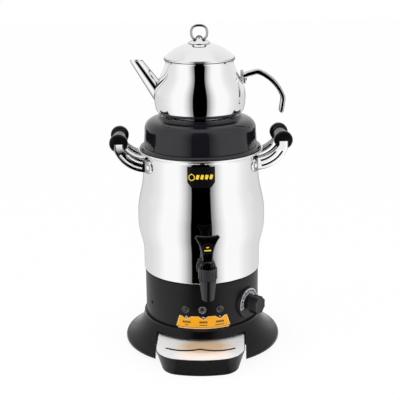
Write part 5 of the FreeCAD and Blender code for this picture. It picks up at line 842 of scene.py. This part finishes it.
def knob_surface():
    """Knob with shallow flutes on a thinner neck: the radius of the grip is the smaller of its own and
    the near side of the flutes' circles, which lie around it. The front has a chamfer and a shallow
    dish."""
    angle = np.linspace(0, 360, 192, endpoint=False)
    away = np.radians((angle + FLUTE_STEP / 2) % FLUTE_STEP - FLUTE_STEP / 2)
    near = FLUTE_PLACE * np.cos(away) - np.sqrt(FLUTE_RADIUS ** 2 - (FLUTE_PLACE * np.sin(away)) ** 2)
    fluted = np.minimum(KNOB_RADIUS, near)
    turn = np.radians(angle)
    neck = ((113.95, 0.01), (113.95, 11.6), (114.3, 12.0), (117.0, 12.0), (120.3, 12.0), (120.9, 12.4))
    grip = ((121.0, 1.0), (121.15, 0.4), (121.7, 0), (125.0, 0), (132.0, 0), (137.6, 0), (138.3, 0.1),
            (139.0, 0.5), (139.4, 1.1), (139.5, 1.9), (139.5, 2.6), (139.3, 3.0), (139.3, 8.0))
    lines = [(depth, radius + 0 * angle) for depth, radius in neck]
    lines += [(depth, fluted - back) for depth, back in grip] + [(139.3, 0.01 + 0 * angle)]
    rows = []
    for depth, radius in lines:
        rows.append(np.stack([radius * np.cos(turn), radius * np.sin(turn), depth + 0 * angle], -1))
    return grid(np.array(rows), False, True)


def lettering(text, height, thickness):
    """Flat numerals made a mesh, centred on the origin, as points in millimetres and triangles."""
    curve = bpy.data.curves.new("numeral", "FONT")
    curve.body = text
    curve.size = height * 1.37
    curve.extrude = thickness / 2
    curve.resolution_u = 3
    curve.align_x, curve.align_y = "CENTER", "CENTER"
    holder = bpy.data.objects.new("numeral", curve)
    mesh = bpy.data.meshes.new_from_object(holder)
    mesh.calc_loop_triangles()
    points, faces = np.empty(len(mesh.vertices) * 3), np.empty(len(mesh.loop_triangles) * 3, int)
    mesh.vertices.foreach_get("co", points)
    mesh.loop_triangles.foreach_get("vertices", faces)
    bpy.data.objects.remove(holder)
    return points.reshape(-1, 3), faces.reshape(-1, 3)


def on_dial(surface):
    """Surface drawn about the Z axis, laid on the dial's place."""
    return outward(surface, DIAL_ANGLE, DIAL_Z)


piece("dial_plate", [on_dial(dial_surface())], "boiler", black_plastic, ["dial_bezel"])
piece("dial_knob", [on_dial(knob_surface())], "thermostat_dial", knob_black,
      ["thermostat_knob"])
numerals = []
for i in range(9):
    place = round_place(FIRST_MARK - NUMERAL_STEP * i, 0, 19.9, DIAL_FACE + 0.03)
    numerals.append(on_dial(moved(lettering(str(20 + 10 * i), 5.2, 0.1), place)))
for i in range(33):
    tick = soft_block((-0.75, 25.2 if i % 4 else 24.0, -0.05), (0.75, 28.2, 0.08), 0.04)
    numerals.append(on_dial(moved(tick, round_place(FIRST_MARK - NUMERAL_STEP / 4 * i, z=DIAL_FACE))))
piece("dial_numerals", numerals, "boiler", print_grey)


# Lamps

bezel = joined(
    run((4.5, 110.2), (7.3, 110.2)), run((7.4, 110.4), (7.4, 111.0)), bend((6.3, 111.1), 1.1, 0, 90, 6),
    run((5.6, 112.2), (5.1, 112.0)), run((4.55, 111.3), (4.5, 110.6)),
)
lens = joined(
    run((0, 109.5), (4.3, 109.5)), run((4.4, 109.7), (4.4, 111.0)),
    bow((4.35, 111.2), (0, 112.15), 0.25, 8),
)
for name, angle in zip(("left", "middle", "right"), LAMP_ANGLES):
    rim, window = outward(spun(bezel, 64, True), angle, LAMP_Z), outward(spun(lens, 48), angle, LAMP_Z)
    # The middle lamp's rim gets the painted highlight.
    rim_look = painted_highlight_rim if name == "middle" else lamp_black
    hidden = name == "left"
    piece("lamp_rim_" + name, [rim], "boiler", rim_look, ["lamp_bezels"] * hidden)
    piece("lamp_window_" + name, [window], "boiler", smoked_lens, ["lamp_lenses"] * hidden)


# Label and badge: plates and flat marks bent round the drum and the neck

def bent_plate(x, z, inner, thickness, angle):
    """Plate on a drum: a point (x, z) of its front view goes back to the drum, y = -root of (radius
    squared - x squared). Its back lies on the inner radius, its face the thickness further out, and a
    rim closes it."""
    sheets = []
    for radius in (inner, inner + thickness):
        sheets.append(np.stack([x, -np.sqrt(radius ** 2 - x ** 2), z], -1))
    rims = [joined(t[:, 0], t[-1, 1:], t[-2::-1, -1], t[0, -2:0:-1]) for t in sheets]
    surfaces = (grid(sheets[0]), grid(sheets[1]), grid(np.stack(rims), False, True))
    return [turned(surface, angle) for surface in surfaces]


def stroke(a, b, width, inner, angle, thickness=0.12):
    """Flat mark of even width from a to b in front view, laid on a drum."""
    t = np.linspace(0, 1, 5)[:, None]
    way = np.array(b, float) - np.array(a, float)
    beside = np.array([-way[1], way[0]]) / np.hypot(*way) * width / 2
    middle = np.array(a, float) + way * t
    x = np.concatenate([middle[:, :1] - beside[0], middle[:, :1] + beside[0]], 1)
    z = np.concatenate([middle[:, 1:] - beside[1], middle[:, 1:] + beside[1]], 1)
    return bent_plate(x, z, inner, thickness, angle)


LABEL_LOW_Z, LABEL_FOOT_Z, LABEL_HIGH_Z, LABEL_NOTCH_Z = 62.8, 66.2, 88.0, 81.5
LABEL_HALF, LABEL_SPREAD, LABEL_STEP, LABEL_NOTCH_HALF = 44.8, 0.156, 31.4, 9.0
DRUM_FACE, LABEL_BACK, LABEL_FACE = 110.05, 110.2, 110.8
BADGE_BACK, BADGE_FACE, BADGE_TOP_Z = 110.3, 111.1, 377.0
WORDS_Z, SMALL_WORDS_Z, SIGNS_Z = 76.3, 70.3, 85.6


def between(stops, count):
    """Even steps from each stop to the next, each value once."""
    steps = [np.linspace(a, b, count) for a, b in zip(stops, stops[1:])]
    return np.unique(np.concatenate(steps).round(4))


def label_top():
    """Corners of the label's top edge from left to right, with a V notch under each lamp."""
    corners = [(-LABEL_HALF, LABEL_HIGH_Z)]
    for x in (-LABEL_STEP, 0, LABEL_STEP):
        left, right = (x - LABEL_NOTCH_HALF, LABEL_HIGH_Z), (x + LABEL_NOTCH_HALF, LABEL_HIGH_Z)
        corners += [left, (x, LABEL_NOTCH_Z), right]
    return np.array(corners + [(LABEL_HALF, LABEL_HIGH_Z)])


def label_lines(low, spread):
    """Columns of the label in front view: level foot, notched top, sides that spread towards the foot."""
    corners = label_top()
    x = between(corners[:, 0], 7)
    top = np.interp(x, *corners.T)
    z = low + (top[:, None] - low) * np.linspace(0, 1, 10)[None, :]
    return x[:, None] * (1 + spread * (LABEL_HIGH_Z - z) / (LABEL_HIGH_Z - LABEL_LOW_Z)), z


x = np.linspace(-48.0, 48.0, 33)[:, None] + np.zeros((1, 3))
z = np.linspace(LABEL_LOW_Z, 65.4, 3)[None, :] + 0 * x
foot_strip = bent_plate(x, z, LABEL_BACK, LABEL_FACE - LABEL_BACK, LABEL_TURN)
x, z = label_lines(LABEL_FOOT_Z, LABEL_SPREAD)
label_sheet = bent_plate(x, z, LABEL_BACK, LABEL_FACE - LABEL_BACK, LABEL_TURN)
piece("lamp_label", label_sheet + foot_strip, "boiler", label_orange, ["label_plate"])


def label_mark(a, b, width, face=LABEL_FACE):
    """Stroke from a to b on the label, or on the drum beside it."""
    return stroke(a, b, width, face, LABEL_TURN)


dark_marks, pale_marks, pale_edge = [], [], []
for middle, reach in zip((-LABEL_STEP, 0.0, LABEL_STEP), (3.0, 7.5, 8.5)):
    for j in range(5):
        place = middle + (j - 2) * 3.1
        dark_marks += label_mark((place - 1.2, WORDS_Z), (place + 1.2, WORDS_Z), 4.0)
    dark_marks += label_mark((middle - reach, SMALL_WORDS_Z), (middle + reach, SMALL_WORDS_Z), 1.3)
for start in np.arange(-46, 46, 8.0):
    pale_marks += label_mark((start, 64.0), (start + 7.0, 64.0), 1.0)
turns = np.radians(np.linspace(0, 360, 13))
for a, b in zip(turns, turns[1:]):
    ends = [(-LABEL_STEP + 1.9 * np.cos(t), SIGNS_Z + 1.9 * np.sin(t)) for t in (a, b)]
    pale_marks += label_mark(*ends, 0.9, DRUM_FACE)
for step in (-1.6, 0.0, 1.6):
    pale_marks += label_mark((step, SIGNS_Z - 1.4), (step, SIGNS_Z + 1.4), 0.9, DRUM_FACE)
pale_marks += label_mark((LABEL_STEP + 0.5, 83.9), (LABEL_STEP - 0.5, 87.6), 0.9, DRUM_FACE)
rim = label_top() + (0, -0.45)
for a, b in zip(rim, rim[1:]):
    pale_edge += label_mark(a, b, 0.8)
for side in (-1, 1):
    foot_half = LABEL_HALF * (1 + LABEL_SPREAD * 0.865)
    pale_edge += label_mark((side * (LABEL_HALF - 0.5), 87.6), (side * (foot_half - 0.5), 66.6), 1.0)
piece("label_border", pale_edge, "boiler", print_cream)
piece("label_bars", dark_marks, "boiler", print_black)
piece("label_signs", pale_marks, "boiler", print_white)

columns = between((-25, -18, 18, 25), 9)
low = 338.5 + 10 * np.maximum(0, (np.abs(columns) - 18) / 7)
z = low[:, None] + (BADGE_TOP_Z - low[:, None]) * np.linspace(0, 1, 8)[None, :]
badge_sheet = bent_plate(columns[:, None] + 0 * z, z, BADGE_BACK, BADGE_FACE - BADGE_BACK, BADGE_ANGLE)
piece("neck_badge", badge_sheet, "boiler", badge_black, ["front_badge"])
marks = []
turns = np.radians(np.linspace(30, 390, 7))
for a, b in zip(turns, turns[1:]):
    ends = [(-17.2 + 5.6 * np.cos(t), 358.0 + 6.2 * np.sin(t)) for t in (a, b)]
    marks += stroke(*ends, 1.5, BADGE_FACE, BADGE_ANGLE)
for j in range(4):
    place = -6.5 + 8.2 * j
    marks += stroke((place - 1.2, 354.4), (place + 1.2, 362.6), 5.2, BADGE_FACE, BADGE_ANGLE)
piece("badge_signs", marks, "boiler", print_yellow)


# Tap: head with ribs, tapered spout with a groove in front, housing and flange behind

TAP_REACH, TAP_MIDDLE_Z = 160.0, 189.0
TAP_PLACE = round_place(TAP_TURN, y=-TAP_REACH)


def tap_head_surface():
    """Outer line round the tap's own axis, less the ribs' grooves and the groove down the front, then in
    over the rim and down the hollow to the outlet. A groove's depth falls off with the distance from
    its middle."""
    outer_line = joined(
        run((6.5, 144.0), (6.9, 142.6)), run((10.7, 142.6), (11.3, 143.2)),
        run((11.5, 145.0), (15.5, 180.6), 14), run((15.5, 181.2), (14.3, 181.5)),
        run((14.2, 182.0), (14.2, 183.2)), run((14.6, 183.6), (16.6, 183.9)),
        bend((16.5, 184.6), 0.7, -50, 0, 4), run((17.2, 185.4), (17.2, 186.2)),
        run((17.2, 187.0), (17.2, 198.5), 5), run((17.2, 199.5), (17.2, 200.0)),
        run((17.2, 200.6), (17.2, 202.4), 3), bend((16.2, 202.5), 1.0, 10, 90, 5),
    )
    inner_line = joined(
        run((15.6, 203.5), (14.4, 203.5)), bend((14.5, 202.6), 0.9, 110, 180, 4),
        run((13.5, 201.5), (13.5, 199.95), 3), run((10.6, 199.95), (10.5, 199.0)),
        run((10.5, 190), (10.5, 166.4), 3), run((6.8, 166.0), (6.5, 165.6)), run((6.5, 160), (6.5, 146), 3),
    )
    line = joined(outer_line, inner_line)
    angle = np.linspace(0, 360, 288, endpoint=False)
    r, z = line[None, :, 0] + 0 * angle[:, None], line[None, :, 1] + 0 * angle[:, None]
    outer = (np.arange(len(line)) >= 3) & (np.arange(len(line)) < len(outer_line))
    away = np.abs((angle + 11.25) % 22.5 - 11.25)[:, None] / 4.6
    rib = 1.1 * np.clip(1.8 * (1 - away), 0, 1)
    band = (z > 184.9) & (z < 199.9) & outer[None, :]
    side = np.abs(r * np.sin(np.radians(angle))[:, None])
    front = (np.cos(np.radians(angle)) > 0)[:, None] & (z > 142.9) & (z < 181) & outer[None, :]
    groove = 2.0 * np.clip(2.0 * (1 - side / 3.6), 0, 1)
    r = r - rib * band - groove * front
    turn = np.radians(angle)[:, None]
    points = np.stack([r * np.sin(turn), -r * np.cos(turn), z], -1)
    return moved(grid(points, True, True), TAP_PLACE)


housing = joined(
    run((0, 97.2), (8.6, 97.2)), run((9.0, 97.6), (9.0, 114.0), 6), run((17.5, 114.3), (18.2, 114.9)),
    run((18.2, 115.3), (18.2, 117.0)), run((17.7, 117.7), (16.8, 118.1)),
    run((13.0, 118.9), (13.0, 140), 6), run((12.6, 141.8), (11.8, 146.0)), run((11.0, 147.5), (0, 148.0)),
)


def tap_groove_shade():
    """Painted shade in the front groove: a dark narrow strip that follows the spout's cone from foot to
    collar, 1 below it."""
    z = np.linspace(143.4, 180.6, 10)[:, None]
    x = np.array([-2.7, -1.35, 0, 1.35, 2.7, 2.7, 0, -2.7])[None, :]
    back = np.array([0, 0, 0, 0, 0, 0.6, 0.6, 0.6])[None, :]
    cone = 11.5 + (z - 145.0) * 4.0 / 35.6
    depth = -np.sqrt(cone ** 2 - x ** 2) + 1.0 + back
    return moved(capped(np.stack([x + 0 * z, depth, z + 0 * x], -1)), TAP_PLACE)


# The groove's strip is painted shade.
piece("tap_groove", [tap_groove_shade()], "boiler", painted_shade_black)
tap_shells = [tap_head_surface(), outward(spun(housing, 96), TAP_TURN, TAP_MIDDLE_Z)]
piece("tap_housing", tap_shells, "boiler", tap_black, ["tap_body"], sharp=38)


# Lever: a blade with wings and a dipped crown, its edge rounded, over a fork with round cheeks

LEVER_LOW, LEVER_TOP, LEVER_PIN = 214.5, 265.0, 208.6


def blade_surface():
    """Blade in front view: half width by height, straight to the waist, a hollow arc out to the wing and
    a round corner. The half thickness is 4 times the root of 1 - (1 - d / 3) squared, where d is the
    distance in from the edge, up to 3, so both faces meet at the edge. The crown dips by a parabola. A
    rim 2 wide stands proud."""
    edge = 1 - np.linspace(0, 1, 9) ** 1.6
    wing = edge[:-1] * 0.35 + 0.65
    u = np.unique(joined(-wing, np.linspace(-0.65, 0.65, 13), wing).round(5))
    ends = LEVER_LOW + (1 - edge) * 4, LEVER_TOP - (1 - edge) * 6
    height = np.unique(joined(*ends, np.linspace(218.5, 259, 24)).round(5))
    z = height[None, :] + 0 * u[:, None]
    width = np.interp(height, [LEVER_LOW, 227.0], [9.2, 10.0])
    side = 75.49 - np.sqrt(65.73 ** 2 - (height - 221.44) ** 2)
    width = np.where(height > 227.0, side, width)
    tip = 16.6 + np.sqrt(np.maximum(36.0 - np.maximum(height - 259.0, 0) ** 2, 0))
    width = np.where(height > 259.0, np.minimum(side, tip), width)
    x = u[:, None] * width[None, :]
    rise = np.clip((height - 235.0) / 30.0, 0, 1) ** 2
    z = z - 2.2 * (1 - np.minimum(np.abs(x) / 19.0, 1) ** 2) * rise[None, :]
    crown = LEVER_TOP - 2.2 * (1 - np.minimum(np.abs(x) / 19.0, 1) ** 2)
    inward = np.minimum(np.minimum((1 - np.abs(u[:, None])) * width[None, :], crown - z), z - LEVER_LOW)
    near = np.clip(inward / 3.0, 0, 1)
    half = 4.0 * np.sqrt(np.maximum(1 - (1 - near) ** 2, 0))
    dish = 0.7 * np.clip((inward - 2.6) / 0.8, 0, 1) * np.clip((z - 226.0) / 3.0, 0, 1)
    front = np.stack([x, -(half - dish), z], -1)
    back = np.stack([x, half, z], -1)
    return moved(grid(front), TAP_PLACE), moved(grid(back), TAP_PLACE)


def cheek_surface(low, high):
    """Side of the fork: the round heel, set forward of the pin, with the blade's foot above it; edges
    eased."""
    turn = np.radians(np.linspace(29, -209.5, 40))
    heel = np.stack([-3.0 - 8.0 * np.cos(turn), LEVER_PIN + 8.0 * np.sin(turn)], -1)[::-1]
    side = joined(heel, [(-4.0, 217.5), (4.0, 217.5)])
    middle = np.array([-1.5, 209.5])
    rows = []
    for x, shrink in ((low, 0.94), (low + 0.4, 1.0), (high - 0.8, 1.0), (high - 0.2, 0.965), (high, 0.92)):
        outline = middle + (side - middle) * shrink
        rows.append(np.stack([np.full(len(side), x), outline[:, 0], outline[:, 1]], -1))
    return moved(capped(np.array(rows)), TAP_PLACE)


blade_front, blade_back = blade_surface()
piece("tap_blade", [blade_front, cheek_surface(5.8, 9.0), cheek_surface(-5.8, -9.0)], "tap_handle",
      lever_black, ["tap_lever"], sharp=40)
piece("tap_blade_rear", [blade_back], "tap_handle", tap_dark, sharp=40)
disc = joined(
    run((0, 163.3), (10.5, 163.3), 3), run((10.8, 163.5), (10.8, 164.4)), run((10.5, 164.7), (9.8, 164.8)),
    run((9.3, 164.6), (0, 164.6), 3),
)
lever_disc = outward(spun(disc, 72), TAP_TURN, 240.0)
piece("lever_disc", [lever_disc], "tap_handle", badge_black, ["tap_emblem"])
bars = []
for half, height in ((2.2, 243.2), (6.2, 237.6)):
    bar = soft_block((-half, -164.72, height - 1.1), (half, -164.55, height + 1.1), 0.05)
    bars.append(turned(bar, TAP_TURN))
piece("lever_signs", bars, "tap_handle", print_yellow)


# Drip tray: plans with rounded corners and a bowed front, stacked and drawn in towards the foot

def tray_plan(inset, inset_rear, corner):
    """Closed plan: half width and front radius less their insets, a corner circle that touches the side
    and the bow."""
    half, front, rear = 83.2 - inset, 194.2 - inset, -67.5 - inset_rear
    reach = front - corner
    side_y = -sqrt(reach ** 2 - (half - corner) ** 2)
    lean = np.arcsin((half - corner) / reach)
    turn = np.linspace(0, pi / 2 - lean, 14)
    round_x, round_y = half - corner + corner * np.cos(turn), side_y - corner * np.sin(turn)
    sweep = np.linspace(lean, 0, 14)[1:]
    right = np.column_stack([
        np.concatenate([np.full(10, half), round_x[1:], front * np.sin(sweep)]),
        np.concatenate([np.linspace(rear, side_y, 10), round_y[1:], -front * np.cos(sweep)]),
    ])
    left = right[-2::-1] * (-1, 1)
    back = np.column_stack([np.linspace(-half, half, 14)[1:-1], np.full(12, rear)])
    return joined(right, left, back)


def tray_surface():
    """Outside from the foot to the rim, over the rim, down past the plate's ledge and the inner side to
    the floor."""
    def level(z, wall):
        share = (38.0 - z) / 37.5
        plan = tray_plan(wall + 12 * share, wall, 50.0 - 14.0 * share - wall)
        return np.column_stack([plan, np.full(len(plan), z)])

    levels = [(0.5, 2.2), (0.5, 1.4), (0.8, 0.6), (1.6, 0.1), (2.6, 0.0)]
    levels += [(z, 0.0) for z in np.linspace(5, 36.6, 12)]
    levels += [(37.4, 0.15), (37.9, 0.5), (38.0, 0.8), (37.9, 1.1), (37.4, 1.2), (37.0, 1.25)]
    levels += [(36.99, 6.4), (34.5, 6.5), (34.4, 2.6), (33.0, 2.5), (20.0, 2.5), (5.0, 2.5)]
    levels += [(3.4, 3.0), (3.0, 4.2)]
    return capped(np.array([level(z, wall) for z, wall in levels]))


tray_tongue = soft_block((-60, -68.75, 32.0), (60, -60.5, 34.5), 0.6)
tray_parts = [turned(surface, BASE_TURN) for surface in (tray_surface(), tray_tongue)]
piece("tray_shell", tray_parts, "tray", tray_black, ["drip_tray"], sharp=40)


# Pieces whose solids are kept as they are, with their sharp edges eased, and a rounded block for the
# handle's saddle

def eased_copy(name, node, body, look, width, sharp=30):
    """Copy of a solid's mesh, its doubles merged and its sharp edges bevelled."""
    mesh = frame["nodes"][node].data.copy()
    mesh.name = name
    work = bmesh.new()
    work.from_mesh(mesh)
    bmesh.ops.remove_doubles(work, verts=work.verts, dist=2e-6)
    bmesh.ops.dissolve_limit(work, angle_limit=radians(0.5), verts=work.verts, edges=work.edges)
    work.to_mesh(mesh)
    work.free()
    mesh.polygons.foreach_set("use_smooth", np.ones(len(mesh.polygons), bool))
    mesh.materials.clear()
    mesh.materials.append(look)
    mesh.set_sharp_from_angle(angle=radians(sharp))
    made = bpy.data.objects.new(name, mesh)
    scene.collection.objects.link(made)
    rim = made.modifiers.new("eased_edges", "BEVEL")
    rim.width = width * MM
    rim.segments = 2
    rim.limit_method = "ANGLE"
    rim.angle_limit = radians(sharp)
    rim.harden_normals = True
    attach(made, body)
    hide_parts(node)
    return made


for side in ("right", "left"):
    eased_copy("handle_grip_" + side, "grip_" + side, "boiler", gloss_black, 0.5)
saddle = soft_block((76.0, -8, 508.7), (81.5, 8, 533.4), 2.4)
piece("handle_saddle", [saddle], "teapot", saddle_steel, ["teapot_bracket"], sharp=50)


# Stage: pale floor, white surround with a dark gap where the camera stands, and a soft lamp overhead

FRONT_LEVELS = (
    (0, 0.0), (17.4, 0.0), (18.4, 0.27), (21.8, 0.35), (29, 0.65), (36.6, 0.87), (43, 1.0), (70, 1.0),
)
REAR_LEVELS = ((88, 0.84), (110, 0.78), (144, 0.84), (180, 0.90))
FLOOR_REAR_LEVELS = ((88, 0.84), (110, 0.74), (144, 0.70), (160, 0.5), (180, 0.15))


WHITE = (1, 1, 1, 1)
TENT_SHADE = (0.885, 0.885, 0.885, 1)


def azimuth_levels(tree, vector, stops):
    """Brightness of the surround by the angle away from the front: dark at the front, white at the sides,
    paler or darker behind. The angle is atan2(x, -y), from 0 in front to half a turn behind."""
    parts = added(tree, "SeparateXYZ", {"Vector": vector}).outputs
    angle = maths(tree, "ARCTAN2", parts["X"], maths(tree, "MULTIPLY", parts["Y"], -1))
    ramp = added(tree, "ValToRGB", {"Fac": maths(tree, "DIVIDE", maths(tree, "ABSOLUTE", angle), pi)})
    stop = ramp.color_ramp.elements
    stop[0].position = 0
    stop[0].color = (0, 0, 0, 1)
    stop[1].position = 1
    stop[1].color = (stops[-1][1],) * 3 + (1,)
    for degrees_round, level in stops[1:-1]:
        stop.new(degrees_round / 180).color = (level, level, level, 1)
    return ramp.outputs["Color"]


world = bpy.data.worlds.new("studio")
scene.world = world
world.use_nodes = True
tree = world.node_tree
way = added(tree, "TexCoord").outputs["Generated"]
height = added(tree, "SeparateXYZ", {"Vector": way}).outputs["Z"]
overhead = spread(tree, height, 0, 1, 0.86, 0.93, "SMOOTHSTEP")
tent = mixed(tree, overhead, azimuth_levels(tree, way, FRONT_LEVELS + REAR_LEVELS), TENT_SHADE)
seen = added(tree, "LightPath").outputs["Is Camera Ray"]
tree.links.new(mixed(tree, seen, tent, WHITE), tree.nodes["Background"].inputs["Color"])
tree.nodes["Background"].inputs["Strength"].default_value = 1.0

floor_finish = bpy.data.materials.new("studio_floor")
floor_finish.use_nodes = True
tree = floor_finish.node_tree
shader = tree.nodes["Principled BSDF"]
shader.inputs["Base Color"].default_value = (0.86, 0.86, 0.86, 1)
shader.inputs["Roughness"].default_value = 0.9
shader.inputs["Specular IOR Level"].default_value = 0.0
place = added(tree, "TexCoord").outputs["Object"]
parts = added(tree, "SeparateXYZ", {"Vector": place}).outputs
seen = added(tree, "LightPath").outputs
level = azimuth_levels(tree, place, FRONT_LEVELS + FLOOR_REAR_LEVELS)
shade = mixed(tree, seen["Is Camera Ray"], level, WHITE)
glow = added(tree, "Emission", {"Color": shade}).outputs["Emission"]
squares = [maths(tree, "POWER", parts[axis], 2.0) for axis in "XY"]
away = maths(tree, "SQRT", maths(tree, "ADD", *squares))
open_floor = spread(tree, away, 0.90, 0.97, 0.15, 0.24, "SMOOTHSTEP")
share = maths(tree, "MULTIPLY", seen["Is Camera Ray"], open_floor)
share = maths(tree, "ADD", share, seen["Is Glossy Ray"])
floor_mix = added(tree, "MixShader", {"Fac": share, 1: shader.outputs["BSDF"], 2: glow})
tree.links.new(floor_mix.outputs["Shader"], tree.nodes["Material Output"].inputs["Surface"])

floor_mesh = bpy.data.meshes.new("floor")
floor_mesh.from_pydata([(-6, -6, 0), (6, -6, 0), (6, 6, 0), (-6, 6, 0)], [], [(0, 1, 2, 3)])
floor = bpy.data.objects.new("floor", floor_mesh)
scene.collection.objects.link(floor)
floor_mesh.materials.append(floor_finish)


def soft_lamp(name, place, aim, size, watts):
    """Square soft lamp at a place in metres that faces a point."""
    lamp = bpy.data.objects.new(name, bpy.data.lights.new(name, "AREA"))
    lamp.data.size = size
    lamp.data.energy = watts
    lamp.visible_glossy = False
    way = np.array(aim) - np.array(place)
    lamp.location = place
    lamp.rotation_euler = (atan2(np.hypot(way[0], way[1]), -way[2]), 0, atan2(-way[0], way[1]))
    scene.collection.objects.link(lamp)
    return lamp


soft_lamp("lamp_over", (-0.9, -0.5, 2.0), (0, 0, 0.25), 0.9, 10)
soft_lamp("lamp_side", (1.3, -0.9, 1.2), (0, 0, 0.25), 0.6, 3)
soft_lamp("lamp_front", (0.1, -1.5, 1.3), (0, -0.15, 0.05), 0.7, 11)


def lamp_for(lamp, names):
    """Keeps a lamp to the named pieces and lets their polish mirror it."""
    lamp.visible_glossy = True
    lamp.light_linking.receiver_collection = bpy.data.collections.new(lamp.name + "_pieces")
    for name in names:
        lamp.light_linking.receiver_collection.objects.link(bpy.data.objects[name])


card_right = soft_lamp("card_right", (0.20, -0.45, 0.28), (0.13, -0.04, 0.38), 0.22, 0.14)
card_left = soft_lamp("card_left", (-0.155, -0.45, 0.352), (-0.155, -0.04, 0.448), 0.10, 0.03)
card_left_rear = soft_lamp("card_left_rear", (-0.20, -0.45, 0.28), (-0.13, 0.04, 0.38), 0.25, 0.18)
lamp_tray = soft_lamp("lamp_tray", (0.0, -0.9, 0.9), (0, -0.15, 0.04), 0.5, 8.5)
lamp_for(card_right, ["handle_arm_right_front", "handle_arm_right_rear"])
lamp_for(card_left, ["handle_arm_left_front"])
lamp_for(card_left_rear, ["handle_arm_left_rear"])
lamp_for(lamp_tray, [frame["nodes"]["drip_plate"].name])
